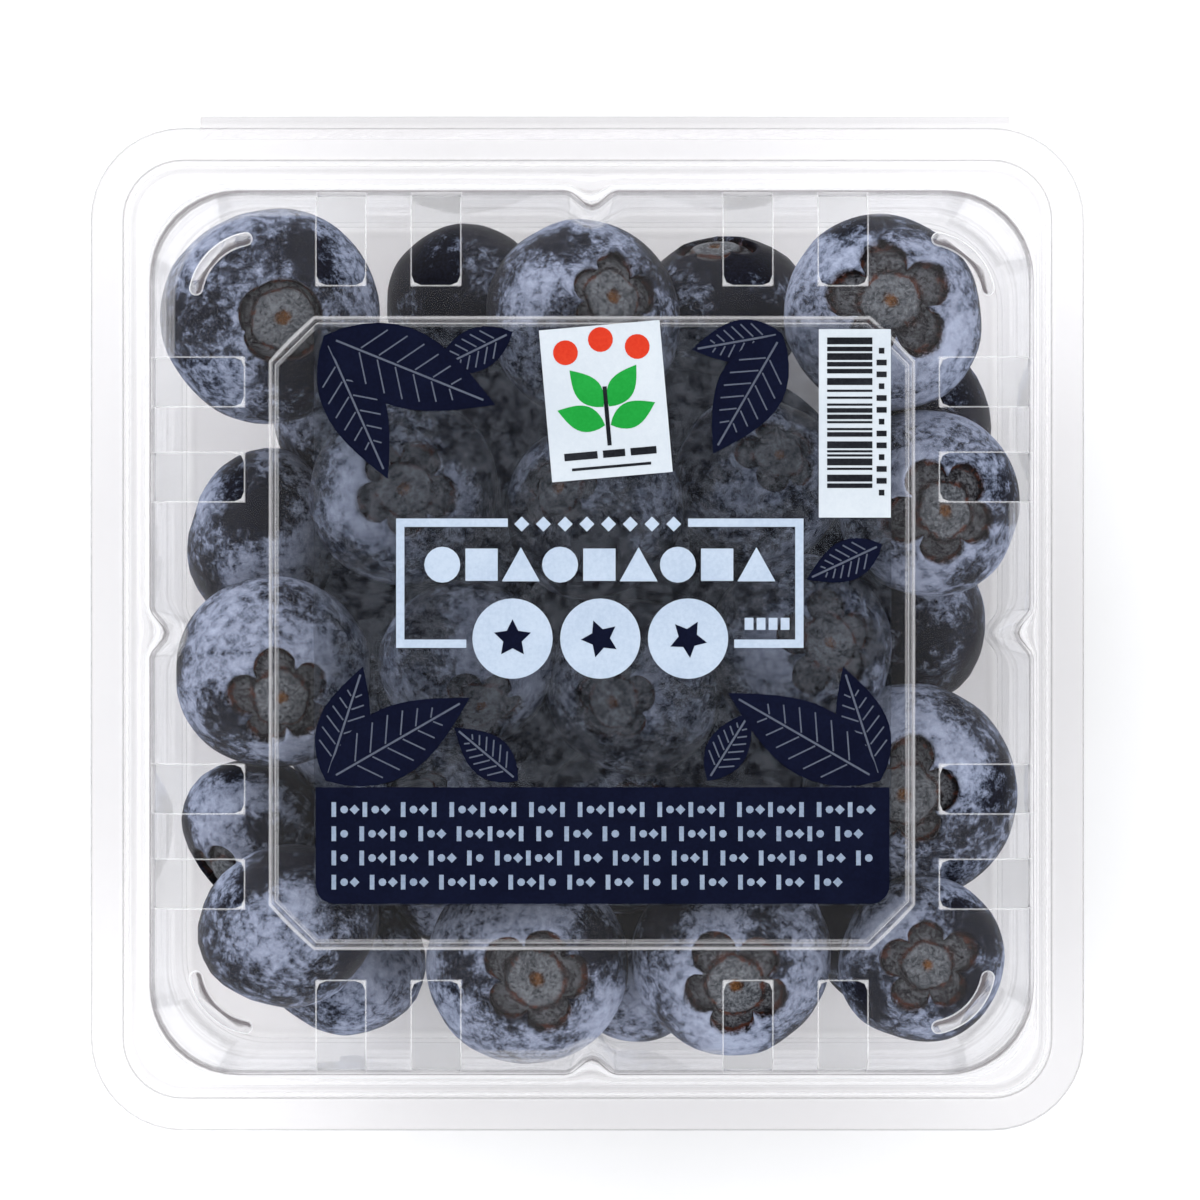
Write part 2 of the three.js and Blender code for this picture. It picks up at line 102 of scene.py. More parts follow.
def new_object(name, bm, material):
    """An object from a bmesh, which this uses up."""
    mesh = bpy.data.meshes.new(name)
    bm.to_mesh(mesh)
    bm.free()
    mesh.materials.append(material)
    made = bpy.data.objects.new(name, mesh)
    bpy.context.scene.collection.objects.link(made)
    return made


def finished_piece(name, bm, material, body, smooth=True, replaces=()):
    """An object in the frame's place from a bmesh in millimetres, riding on its body."""
    bmesh.ops.transform(bm, matrix=PACK_PLACE, verts=bm.verts)
    piece = new_object(name, bm, material)
    piece.data.polygons.foreach_set("use_smooth", [smooth] * len(piece.data.polygons))
    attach(piece, body)
    if replaces:
        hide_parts(*replaces)
    return piece


def new_points(extruded):
    """The points that an extrusion made."""
    return [item for item in extruded["geom"] if isinstance(item, bmesh.types.BMVert)]


def add_plate(bm, points, low, thickness):
    """Adds a flat plate with the given outline; returns its upper points."""
    corners = [bm.verts.new((x, y, low)) for x, y in points]
    face = bm.faces.new(corners)
    face.normal_update()
    if face.normal.z < 0:
        face.normal_flip()
    raised = new_points(bmesh.ops.extrude_face_region(bm, geom=[face]))
    bmesh.ops.translate(bm, vec=(0, 0, thickness), verts=raised)
    face.normal_flip()
    return raised


def flat_piece(name, points, low, thickness, material, node):
    """A flat sheet on the lid in the place of a node."""
    bm = bmesh.new()
    add_plate(bm, points, low, thickness)
    finished_piece(name, bm, material, "lid", smooth=False, replaces=[node])


def evenly(count, start, pitch):
    return [start + step * pitch for step in range(count)]


def turned(points, degrees, x, y):
    """Plan points turned about their origin, then moved."""
    cos, sin = math.cos(math.radians(degrees)), math.sin(math.radians(degrees))
    return [(px * cos - py * sin + x, px * sin + py * cos + y) for px, py in points]


def box_points(width, height, x=0, y=0):
    corners = ((-1, -1), (1, -1), (1, 1), (-1, 1))
    return [(x + side * width / 2, y + end * height / 2) for side, end in corners]


def arc_points(radius, start, end, steps, x=0, y=0):
    angles = [math.radians(start + (end - start) * step / steps) for step in range(steps + 1)]
    return [(x + radius * math.cos(angle), y + radius * math.sin(angle)) for angle in angles]


def round_points(radius, x, y, steps):
    return arc_points(radius, 0, 360, steps, x, y)[:-1]


# Shader nodes

class Wire:
    """An output of a shader node; sums and products add their Math nodes."""

    def __init__(self, tree, socket):
        self.tree, self.socket = tree, socket

    def node(self, kind, settings, sockets, output=0):
        """A new node, with its settings and the values or links of its sockets."""
        made = self.tree.nodes.new(kind)
        for key, value in settings.items():
            setattr(made, key, value)
        for key, value in sockets.items():
            if isinstance(value, Wire):
                self.tree.links.new(value.socket, made.inputs[key])
            else:
                made.inputs[key].default_value = value
        return Wire(self.tree, made.outputs[output])

    def math(self, operation, *values, clamp=False):
        return self.node("ShaderNodeMath", {"operation": operation, "use_clamp": clamp},
                         dict(enumerate(values)))

    def __add__(self, other):
        return self.math("ADD", self, other)

    def __sub__(self, other):
        return self.math("SUBTRACT", self, other)

    def __rsub__(self, other):
        return self.math("SUBTRACT", other, self)

    def __mul__(self, other):
        return self.math("MULTIPLY", self, other)

    def __pow__(self, other):
        return self.math("POWER", self, other)

    def step(self, low, high):
        """A smooth 0 to 1 as this value goes from low to high."""
        return self.node("ShaderNodeMapRange", {"interpolation_type": "SMOOTHSTEP"},
                         {"Value": self, "From Min": low, "From Max": high})

    def blend(self, first, second):
        """The first colour where this value is 0, and the second where it is 1."""
        return self.node("ShaderNodeMix", {"data_type": "RGBA"}, {0: self, 6: first, 7: second}, 2)

    def noise(self, scale, detail=2.0, roughness=0.5, distortion=0.0):
        """Noise over this vector."""
        return self.node("ShaderNodeTexNoise", {}, {
            "Vector": self, "Scale": scale, "Detail": detail,
            "Roughness": roughness, "Distortion": distortion,
        })

    def attribute(self, name):
        return self.node("ShaderNodeAttribute", {"attribute_name": name}, {}, 2)


def new_material(name):
    """An empty material, and a wire of its Object coordinates."""
    material = bpy.data.materials.new(name)
    material.use_nodes = True
    tree = material.node_tree
    tree.nodes.clear()
    start = Wire(tree, None)
    return material, start.node("ShaderNodeTexCoord", {}, {}, 3)


def surface(shader, output="ShaderNodeOutputMaterial"):
    """Joins a shader to its tree's output."""
    made = shader.tree.nodes.new(output)
    shader.tree.links.new(shader.socket, made.inputs["Surface"])


def principled(coords, **values):
    """A Principled shader; an underscore stands for the blank in a socket's name."""
    sockets = {key.replace("_", " "): value for key, value in values.items()}
    return coords.node("ShaderNodeBsdfPrincipled", {}, sockets)


def bump(coords, height, strength, distance):
    return coords.node("ShaderNodeBump", {}, {
        "Height": height, "Strength": strength, "Distance": distance,
    })


def see_through(coords, factor, tint, shader):
    """The shader over a tinted view of what lies behind, in the factor's share."""
    clear = coords.node("ShaderNodeBsdfTransparent", {}, {"Color": tint})
    return coords.node("ShaderNodeMixShader", {}, {0: factor, 1: clear, 2: shader})


def clear_sheet_material():
    """Thin clear formed sheet: gloss that grows at a slant, a faint haze, painted pale and dark lines at the
    folds standing in for the light bent and reflected there, and painted shade where it is seen edge-on.
    """
    material, coords = new_material("clear_formed_sheet")
    slant = coords.node("ShaderNodeLayerWeight", {}, {"Blend": 0.5}, 1)
    fold = coords.attribute("fold")
    relief = bump(coords, coords.noise(90), 0.12, 0.0012)
    gloss = principled(coords, Base_Color=(0.93, 0.95, 0.98, 1), Metallic=1.0, Roughness=0.07, Normal=relief)
    # Painted shade where the sheet is seen edge-on; the attribute adds painted highlight above 0 and painted
    # shade under 0 at the bends
    edge_on_shade = slant.step(0.8, 1.0)
    painted_line_tone = fold.step(-0.05, 0.05) * (1 - edge_on_shade)
    haze_and_painted_line_colour = painted_line_tone.blend((0.075, 0.06, 0.066, 1), (0.93, 0.93, 0.95, 1))
    haze = principled(coords, Base_Color=haze_and_painted_line_colour, Roughness=0.4)
    painted_line_strength = coords.math("ABSOLUTE", fold)
    share = coords.math("ADD", painted_line_strength * 0.5 + edge_on_shade * 0.3, 0.014, clamp=True)
    glossy = see_through(coords, slant ** 4 * 0.6 + 0.01, (0.998, 0.995, 0.996, 1), gloss)
    surface(coords.node("ShaderNodeMixShader", {}, {0: share, 1: glossy, 2: haze}))
    return material


def film_material():
    """Clear printed film over the fruit, which it greys a little."""
    material, coords = new_material("smoky_label_film")
    slant = coords.node("ShaderNodeLayerWeight", {}, {"Blend": 0.5}, 1)
    cloud = coords.noise(700, 5, 0.75)
    colour = cloud.step(0.38, 0.62).blend((0.004, 0.006, 0.01, 1), (0.115, 0.125, 0.15, 1))
    relief = bump(coords, cloud, 0.2, 0.0004)
    film = principled(
        coords, Base_Color=colour, Roughness=cloud * 0.15 + 0.25, Specular_IOR_Level=0.1, Normal=relief,
    )
    share = coords.math("ADD", slant ** 4 * 0.6, 0.19, clamp=True)
    surface(see_through(coords, share, (0.95, 0.955, 0.965, 1), film))
    return material


def ink_material(name, colour, worn):
    """Printed ink with a fine grain and slightly thinner patches."""
    material, coords = new_material(name)
    grain = coords.noise(2600, 3, 0.65)
    patch = coords.noise(220)
    tint = (grain * 0.6 + patch * 0.4).step(0.3, 0.75).blend(colour + (1,), worn + (1,))
    relief = bump(coords, grain, 0.15, 0.00005)
    surface(principled(
        coords, Base_Color=tint, Roughness=patch * 0.15 + 0.4, Specular_IOR_Level=0.06, Normal=relief,
    ))
    return material


def sticker_material():
    """Coated white paper with faint fibres."""
    material, coords = new_material("coated_sticker_paper")
    fibre = coords.noise(1800, 5, 0.7, 0.6)
    cloud = coords.noise(120)
    tint = (fibre * 0.5 + cloud * 0.5).step(0.3, 0.7).blend((0.53, 0.585, 0.645, 1), (0.6, 0.65, 0.7, 1))
    relief = bump(coords, fibre + cloud, 0.2, 0.0001)
    surface(principled(coords, Base_Color=tint, Roughness=fibre * 0.2 + 0.35, Normal=relief))
    return material


def berry_material():
    """Blue-black skin under a patchy pale bloom, with a taupe crown and a brown scar in it, and dark rings in
    the crown's grooves, partly the rim's own brown and partly painted shade.
    """
    material, coords = new_material("bloomed_berry_skin")
    crown = coords.attribute("crown")
    bloom_left = coords.attribute("bloom")
    patch = coords.noise(740, 6, 0.72, 0.22)
    speck = coords.noise(3000, 2, 0.6)
    bloom = (bloom_left + (patch - 0.5) * 2.3 + (speck - 0.5) * 0.8).step(0.26, 0.88)
    dark = speck.step(0.3, 0.7).blend((0.002, 0.002, 0.005, 1), (0.006, 0.007, 0.016, 1))
    pale = (bloom_left * 0.3 + patch).step(0.52, 1.0).blend((0.066, 0.084, 0.136, 1), (0.355, 0.4, 0.53, 1))
    colour = (bloom * 0.95).blend(dark, pale)
    grain = patch * 0.5 + speck * 0.5
    lobe_tint = grain.step(0.38, 0.64).blend((0.008, 0.007, 0.009, 1), (0.1, 0.104, 0.116, 1))
    disc_tint = grain.step(0.36, 0.66).blend((0.028, 0.031, 0.037, 1), (0.16, 0.17, 0.19, 1))
    scar_tint = grain.step(0.38, 0.62).blend((0.03, 0.014, 0.007, 1), (0.15, 0.068, 0.025, 1))
    # Dark rings for the crown's outer edge and round its disc: partly the rim's own brown, partly painted
    # shade in those creases
    crease_shade_and_rim_tint = patch.step(0.47, 0.6).blend((0.012, 0.01, 0.011, 1), (0.07, 0.026, 0.018, 1))
    wobbly = crown + (patch - 0.5) * 0.3 + (speck - 0.5) * 0.08
    for low, high, tint in ((0.94, 1.02, crease_shade_and_rim_tint), (0.82, 0.9, lobe_tint), (0.54, 0.64, crease_shade_and_rim_tint),
                            (0.46, 0.53, disc_tint), (0.08, 0.16, scar_tint)):
        colour = wobbly.step(low, high).blend(tint, colour)
    relief = bump(coords, patch * 0.5 + speck * 0.25, 0.3, 0.0003)
    surface(principled(
        coords, Base_Color=colour, Roughness=bloom * 0.3 + 0.45, Specular_IOR_Level=0.06, Normal=relief,
    ))
    return material


def floor_material():
    material, coords = new_material("pale_floor")
    tint = coords.noise(6).step(0.3, 0.7).blend((0.925, 0.925, 0.93, 1), (0.94, 0.94, 0.945, 1))
    surface(principled(
        coords, Base_Color=tint, Roughness=0.9, Emission_Color=tint, Emission_Strength=FLOOR_GLOW,
    ))
    return material


CLEAR = clear_sheet_material()
FILM = film_material()
NAVY = ink_material("navy_ink", (0.0015, 0.0025, 0.012), (0.003, 0.005, 0.02))
WHITE = ink_material("white_ink", (0.47, 0.55, 0.66), (0.38, 0.46, 0.58))
PALE_LINE = ink_material("pale_line_ink", (0.1, 0.115, 0.155), (0.07, 0.08, 0.115))
SMALL_PRINT = ink_material("small_print_ink", (0.27, 0.33, 0.43), (0.18, 0.23, 0.32))
BLACK = ink_material("black_ink", (0.006, 0.007, 0.01), (0.02, 0.022, 0.028))
GREEN = ink_material("leaf_green_ink", (0.01, 0.26, 0.035), (0.016, 0.32, 0.05))
RED = ink_material("warm_red_ink", (0.55, 0.032, 0.014), (0.62, 0.05, 0.02))
PAPER = sticker_material()
BERRY_SKIN = berry_material()


# The two formed shells, each a sheet drawn out from its middle row by row

class Row(NamedTuple):
    """A closed loop of a shell: half-widths, corner, flute, height, and the painted highlight and shade along
    its bend.
    """
    x: float
    y: float
    z: float
    corner: float
    chamfer: float = 0
    flute: float = 0
    flute_width: float = 6
    shift_x: float = 0
    shift_y: float = 0
    soft: float = 0
    inner: float = 0
    outer: float = 0
    fold: float = 0


# Painted highlight and painted shade along edges, standing in for light bent and reflected there: pale above
# 0, dark under it
VENT_EDGE_HIGHLIGHT, RIB_EDGE_LIGHT_AND_SHADE, RIB_TOP_HIGHLIGHT, HINGE_LAP_HIGHLIGHT, HINGE_SHADE = 0.6, 1.6, 0.1, 0.4, -0.1
CORNER_STEPS, SOFT_STEPS, SOFT_REACH, SIDE_END_GAP = 10, 6, 0.45, 0.3
FLUTE_STEPS = evenly(9, -1, 0.25)


def mixed(first, second, share):
    """The row part of the way from the first to the second."""
    return Row(*(a + (b - a) * share for a, b in zip(first, second)))


def vent_columns(place):
    """Where a vent's edges and corners and the strips beside it cross a side."""
    left, right = place - VENT_WIDTH / 2, place + VENT_WIDTH / 2
    return [left - EDGE_LINE, left, left + VENT_CORNER, right - VENT_CORNER, right, right + EDGE_LINE]


def side_columns(row, half):
    """Distances along a side's straight stretch, with the flute's depth there."""
    vents = [column for place in VENT_PLACES for column in vent_columns(place)]
    scale = min(1, (half - row.corner - SIDE_END_GAP) / vents[-1])
    straight = [(column * scale, 0) for column in vents]
    middle = len(vents) // 2
    flute = [(step * row.flute_width / 2, row.flute * math.cos(step * math.pi / 2) ** 2)
             for step in FLUTE_STEPS]
    return straight[:middle] + flute + straight[middle:]


def row_points(row):
    """The points of a row, counter-clockwise from the right-hand side."""
    points = []
    for side in range(4):
        reach, half = (row.y, row.x) if side % 2 else (row.x, row.y)
        local = [(reach - depth, along) for along, depth in side_columns(row, half)]
        for step in range(CORNER_STEPS + 1):
            share = step / CORNER_STEPS
            angle = share * math.pi / 2
            round_in = (1 - math.cos(angle), 1 - math.sin(angle))
            cut_in = (share, 1 - share)
            in_x, in_y = (a + (b - a) * row.chamfer for a, b in zip(round_in, cut_in))
            local.append((reach - row.corner * in_x, half - row.corner * in_y))
        points += turned(local, 90 * side, row.shift_x, row.shift_y)
    return [(x, y, row.z) for x, y in points]


def softened(rows):
    """The rows, with a few for each soft one that round its bend and paint highlight and shade on its inner
    and outer half.
    """
    result = [rows[0]]
    for before, row, after in zip(rows, rows[1:], rows[2:]):
        if not row.soft:
            result.append(row)
            continue
        reach = [min(row.soft / max(math.dist((row.x, row.z), (other.x, other.z)), 1e-6), SOFT_REACH)
                 for other in (before, after)]
        start, end = mixed(row, before, reach[0]), mixed(row, after, reach[1])
        for step in range(SOFT_STEPS + 1):
            share = step / SOFT_STEPS
            bent = mixed(mixed(start, row, share), mixed(row, end, share), share)
            wave = math.sin(share * math.tau)
            painted_line = row.inner * max(wave, 0) + row.outer * max(-wave, 0)
            result.append(bent._replace(fold=row.fold + painted_line))
    return result + [rows[-1]]


def drawn_out(bm, loop):
    """The new loop, in the same order, that drawing out a loop's edges makes."""
    edges = [bm.edges.get(pair) for pair in zip(loop, loop[1:] + loop[:1])]
    old, partner = set(loop), {}
    for vert in new_points(bmesh.ops.extrude_edge_only(bm, edges=edges)):
        for other in (edge.other_vert(vert) for edge in vert.link_edges):
            if other in old:
                partner[other] = vert
    return [partner[vert] for vert in loop]


def shell_mesh(rows):
    """A sheet through the rows, from a flat middle outwards, and the loops of its points."""
    bm = bmesh.new()
    fold = bm.verts.layers.float.new("fold")
    loops = []
    for row in rows:
        places = row_points(row)
        if loops:
            loop = drawn_out(bm, loops[-1])
        else:
            loop = [bm.verts.new(place) for place in places]
            bm.faces.new(loop)
        for vert, place in zip(loop, places):
            # Each point takes its row's value of painted highlight and shade
            vert.co, vert[fold] = place, row.fold
        loops.append(loop)
    bmesh.ops.recalc_face_normals(bm, faces=bm.faces)
    bm.faces.ensure_lookup_table()
    bm.faces[0].normal_update()
    if bm.faces[0].normal.z < 0:
        bmesh.ops.reverse_faces(bm, faces=bm.faces)
    return bm, loops


def flange_row(inset, z, **more):
    corner = max(FLANGE_CORNER - inset, FLANGE_LEAST_CORNER)
    return Row(FLANGE_X - inset, FLANGE_Y - inset, z, corner,
               shift_x=FLANGE_SHIFT_X, shift_y=FLANGE_SHIFT_Y, **more)


def wall_row(half, z, corner=WALL_CORNER, width=FLUTE_FOOT, flute=FLUTE_DEPTH, **more):
    return Row(half, half, z, corner, flute=flute, flute_width=width, **more)


def top_row(half, corner, flute=0):
    return wall_row(half, LID_TOP, corner, FLUTE_TOP, flute)


def panel_row(inset, z, **more):
    cut = PANEL_CUT - inset * PANEL_CUT_NARROWS
    return Row(PANEL_X - inset, PANEL_Y - inset, z, cut, chamfer=1, **more)


def finished_shell(bm, body):
    """A shell in its node's place, whose sheet has a second face under the modelled one."""
    name = "clear_" + body
    shell = finished_piece(name, bm, CLEAR, body, replaces=[body])
    wall = shell.modifiers.new("sheet_thickness", "SOLIDIFY")
    wall.thickness = SHEET * MM
    wall.offset = -1
    wall.use_even_offset = False


def cut_vents(bm, loops, inner_row, sill_row):
    """Opens the vents, with rounded inner corners and painted highlights along their edges."""
    fold = bm.verts.layers.float["fold"]
    per_side = len(loops[0]) // 4
    half_vents = len(VENT_PLACES) // 2
    columns = len(vent_columns(0))
    starts = [group * columns + (len(FLUTE_STEPS) if group >= half_vents else 0)
              for group in range(len(VENT_PLACES))]
    gone, bright = [], set()
    for start in (side * per_side + start + 1 for side in range(4) for start in starts):
        for row in range(inner_row, sill_row):
            for column in range(start, start + 3):
                quad = (loops[row][column], loops[row][column + 1],
                        loops[row + 1][column + 1], loops[row + 1][column])
                if row > inner_row or column == start + 1:
                    gone.append(bm.faces.get(quad))
            bright.update((loops[row][start], loops[row][start + 3]))
        bright.update(loops[inner_row][start:start + 4] + loops[sill_row][start:start + 4])
        for corner, free in ((start, start + 1), (start + 3, start + 2)):
            meeting, inside = loops[inner_row][corner], loops[inner_row + 1][free]
            inside.co = meeting.co.lerp(inside.co, 1 - math.sqrt(0.5))
            bright.add(inside)
    # Painted highlight on the vents' edges
    for vert in bright:
        vert[fold] = VENT_EDGE_HIGHLIGHT
    bmesh.ops.delete(bm, geom=gone, context="FACES")


def make_lid():
    flange_top = PARTING + CLEARANCE / 2 + SHEET
    wall_top = WALL_FOOT - WALL_LEAN
    bead_top = flange_top + BEAD_RISE
    # Along the bends the rows paint highlight above 0 and shade under 0
    foot = wall_row(WALL_FOOT, bead_top, soft=0.55, inner=-1.3, outer=1.0)
    top = wall_row(wall_top, LID_TOP, width=FLUTE_TOP, soft=EDGE_ROUND, inner=0.18, outer=-0.2)
    sill = mixed(foot, top, VENT_SILL)._replace(soft=0, fold=-0.03)
    rows = [
        panel_row(PANEL_SLOPE + MIDDLE_INSET, LID_TOP + PANEL_RISE),
        panel_row(PANEL_SLOPE, LID_TOP + PANEL_RISE, soft=0.3, inner=0.3, outer=0.75),
        panel_row(0, LID_TOP, soft=0.3, inner=-0.5, outer=0.6),
        top_row(VENT_INNER - EDGE_LINE, VENT_ROW_CORNER),
        top_row(VENT_INNER, VENT_ROW_CORNER),
        top_row(VENT_INNER + VENT_CORNER, VENT_END_CORNER),
        top_row(wall_top - EDGE_ROUND - TOP_ROW_IN, TOP_ROW_CORNER, TOP_ROW_FLUTE),
        top,
        sill,
        foot,
        flange_row(BEAD_TOP_IN, bead_top, soft=0.3, inner=0.45, outer=-0.15),
        flange_row(BEAD_FOOT_IN, flange_top, soft=0.3, inner=-0.25, outer=0.6),
        flange_row(OUTER_BAND, flange_top, soft=0.25, inner=-0.32, outer=0.1, fold=-0.015),
        flange_row(EDGE_LINE, flange_top, fold=-0.02),
        flange_row(0, flange_top, fold=-0.3),
    ]
    smooth_rows = softened(rows)
    bm, loops = shell_mesh(smooth_rows)
    cut_vents(bm, loops, smooth_rows.index(rows[4]), smooth_rows.index(sill))
    finished_shell(bm, "lid")


def make_tub():
    flange_top = PARTING - CLEARANCE / 2
    bead_top = flange_top + BEAD_RISE
    # Along the bends the rows paint highlight above 0 and shade under 0
    rows = [
        panel_row(PANEL_SLOPE * 2 + MIDDLE_INSET, SHEET + PANEL_RISE),
        panel_row(PANEL_SLOPE * 2, SHEET + PANEL_RISE, soft=0.4, inner=0.2, outer=-0.2),
        panel_row(0, SHEET, soft=0.4, inner=0.2, outer=-0.2),
        wall_row(TUB_FOOT - TUB_ROUND, SHEET, corner=TUB_CORNER - TUB_ROUND / 2, flute=0),
        wall_row(TUB_FOOT, SHEET, corner=TUB_CORNER, flute=FLUTE_DEPTH / 2, soft=TUB_ROUND,
                 inner=-0.05, outer=-0.12),
        wall_row(TUB_FOOT, SHEET + TUB_ROUND, corner=TUB_CORNER, fold=-0.02, soft=0.6),
        wall_row(WALL_FOOT - TUB_WALL_TOP_IN, bead_top, fold=-0.02, soft=0.3, inner=-0.2, outer=0.2),
        wall_row(WALL_FOOT + TUB_BEAD_TOP_OUT, bead_top, flute=TUB_BEAD_FLUTE, soft=0.3,
                 inner=0.2, outer=-0.3),
        flange_row(TUB_BEAD_TOP_IN, flange_top, soft=0.3, inner=0.3, outer=-0.2),
        flange_row(OUTER_BAND, flange_top, soft=0.2, inner=-0.2, outer=0.1, fold=-0.015),
        flange_row(EDGE_LINE, flange_top, fold=-0.02),
        flange_row(0, flange_top, fold=-0.3),
    ]
    finished_shell(shell_mesh(softened(rows))[0], "tub")


def make_hinge_half(body, side):
    """Half of the folded strip at the back: a curved section drawn out along X."""
    edge = FLANGE_Y + FLANGE_SHIFT_Y
    near, far = CLEARANCE / 2 * side, (CLEARANCE / 2 + SHEET) * side
    fold_line = edge + HINGE_REACH - HINGE_GAP
    tip, end = (fold_line, near * HINGE_TIP_SHARE), (edge, far)
    bend = (edge + HINGE_REACH * HINGE_FULL_SHARE, far)
    curve = []
    for share in (step / HINGE_STEPS for step in range(HINGE_STEPS + 1)):
        curve.append(tuple(
            (1 - share) ** 2 * a + 2 * share * (1 - share) * b + share ** 2 * c
            for a, b, c in zip(tip, bend, end)
        ))
    section = [(edge - HINGE_OVERLAP, near), (edge + HINGE_REACH * HINGE_FLAT_SHARE, near)] + curve
    section.append((edge - HINGE_OVERLAP, far))
    bm = bmesh.new()
    fold = bm.verts.layers.float.new("fold")
    left = HINGE_MIDDLE - HINGE_LENGTH / 2
    corners = [bm.verts.new((left, y, PARTING + z)) for y, z in section]
    face = bm.faces.new(corners)
    far_end = new_points(bmesh.ops.extrude_face_region(bm, geom=[face]))
    bmesh.ops.translate(bm, vec=(HINGE_LENGTH, 0, 0), verts=far_end)
    # Painted highlight where the strip laps over the flange, painted shade on the rest of it
    for vert in bm.verts:
        vert[fold] = HINGE_LAP_HIGHLIGHT if vert.co.y < edge - HINGE_OVERLAP / 2 else HINGE_SHADE
    bmesh.ops.recalc_face_normals(bm, faces=bm.faces)
    finished_piece(body + "_hinge_strip", bm, CLEAR, body, smooth=False)


def make_corner_ribs():
    """Four kidney-shaped ribs raised from the lid's top, with rounded crowns, painted highlight on their
    sides and top, and painted shade on the inner side of their tops.
    """
    bm = bmesh.new()
    fold = bm.verts.layers.float.new("fold")
    half = RIB_WIDTH / 2
    for sign_x, sign_y in ((1, 1), (-1, 1), (-1, -1), (1, -1)):
        outward = math.degrees(math.atan2(sign_y, sign_x))
        start, end = outward - RIB_SPAN / 2, outward + RIB_SPAN / 2
        start_tip, end_tip = arc_points(RIB_RADIUS, start, end, 1)
        outline = arc_points(RIB_RADIUS + half, start, end, RIB_ARC_STEPS)
        outline += arc_points(half, end, end + 180, RIB_END_STEPS, *end_tip)[1:-1]
        outline += arc_points(RIB_RADIUS - half, end, start, RIB_ARC_STEPS)
        outline += arc_points(half, start + 180, start + 360, RIB_END_STEPS, *start_tip)[1:-1]
        outline = [(x + sign_x * RIB_X, y + sign_y * RIB_Y) for x, y in outline]
        raised = add_plate(bm, outline, LID_TOP, RIB_RISE * RIB_FOOT)
        crown = next(face for face in bm.faces if all(vert in raised for vert in face.verts))
        for width, rise in RIB_ROUND:
            bmesh.ops.inset_region(bm, faces=[crown], thickness=width, depth=0)
            bmesh.ops.translate(bm, vec=(0, 0, rise * RIB_RISE), verts=crown.verts)
    # Painted highlight on the sides and top, painted shade on the top's inner side
    for vert in bm.verts:
        height = (vert.co.z - LID_TOP) / RIB_RISE
        from_middle = math.hypot(abs(vert.co.x) - RIB_X, abs(vert.co.y) - RIB_Y) - RIB_RADIUS
        vert[fold] = RIB_TOP_HIGHLIGHT if height > RIB_TOP_FROM else RIB_EDGE_LIGHT_AND_SHADE
        if height > RIB_TOP_FROM and from_middle < -RIB_SHADE_FROM:
            vert[fold] = -RIB_EDGE_LIGHT_AND_SHADE
    finished_piece("corner_ribs", bm, CLEAR, "lid")


# The berries

class Star(NamedTuple):
    """A crown's outline, as shares of the berry's radius, and where its first lobe points."""
    tip: float
    notch: float
    turn: float


# x, y, z, width, where the crown faces, how much bloom is left, and the star where it shows
SHOWN_BERRIES = (
    (-35, 33.2, 23.5, 23.6, (0.17, -0.05, 1), 0.56, (0.41, 0.37, 20)),
    (-1.3, 34.2, 24, 21.6, (0.42, 0.28, 0.9), 0.57, (0.5, 0.33, 10)),
    (32, 33.9, 24, 21.8, (0.08, 0.18, 1), 0.76, (0.62, 0.37, 98)),
    (36.6, 14.2, 24, 20.4, (0.22, -0.1, 1), 0.78, (0.66, 0.37, 50)),
    (35.4, -16.2, 24, 23.4, (-0.08, -0.04, 1), 0.5, (0.53, 0.31, 80)),
    (35.6, -35.4, 23, 18.2, (0.12, -0.08, 1), 0.48, (0.64, 0.37, 22)),
    (14.9, -35.4, 23.5, 21.8, (0.02, -0.34, 0.95), 0.7, (0.56, 0.34, 50)),
    (-8.1, -35.2, 23.5, 21.8, (0.12, -0.18, 1), 0.66, (0.58, 0.35, 75)),
    (-31.4, -32.8, 24, 20, (0.3, -0.9, -0.4), 0.5),
    (-37.4, -22.6, 15.5, 17.6, (-0.5, -0.7, 0.5), 0.5),
    (-34.4, -3.6, 24.5, 21.4, (0.12, -0.36, 0.95), 0.66, (0.55, 0.34, 30)),
    (-20.6, 15.8, 24.5, 20.6, (0.02, 0.02, 1), 0.5, (0.56, 0.35, 60)),
    (0.2, 13.4, 24, 20, (-0.5, 0.3, 0.8), 0.5),
    (18, 16.4, 23.5, 19, (0.3, 0.4, 0.85), 0.48),
    (23.6, -3.2, 24, 20.6, (0.4, 0.1, 0.9), 0.5),
    (-13.4, -5, 23.5, 19.4, (0.2, -0.6, 0.75), 0.52),
    (5, -6.4, 23.5, 19.4, (-0.3, -0.2, 0.9), 0.5),
    (-16, -20.6, 17.5, 18.8, (-0.2, 0.3, 0.9), 0.45),
    (2.4, -21.4, 17.5, 18.6, (0.5, 0.2, 0.8), 0.45),
    (19.6, -20.2, 17, 18.8, (0.1, 0.5, 0.85), 0.45),
    (-16.6, 35.4, 12, 18.4, (0.5, 0.3, -0.8), 0.1),
    (14.2, 35.4, 12, 19, (-0.1, 0.9, 0.3), 0.12),
    (34.2, 1.6, 11, 19.4, (0.7, 0.3, -0.5), 0.34),
    (-29.4, -35.6, 10.5, 19, (-0.4, -0.8, -0.3), 0.52),
    (-35.4, 13.2, 11.5, 19.6, (-0.9, 0.2, -0.3), 0.46),
)
ROW_PLACES, ROW_HEIGHT, ROW_WIDTH = evenly(4, -32.25, 21.5), 10, 19
ROW_SPREAD, ROW_APART, ROW_JITTER, ROW_CLEAR, ROW_TILT = 1.2, 14.5, 1.5, 3, 1.4
FLATNESS, PACKING = 0.84, 0.92
HEAP_SEED, SETTLE_ROUNDS, SHOWN_HOLD, LOWER_HOLD, SINK = 41, 160, 0.14, 0.01, 0.03
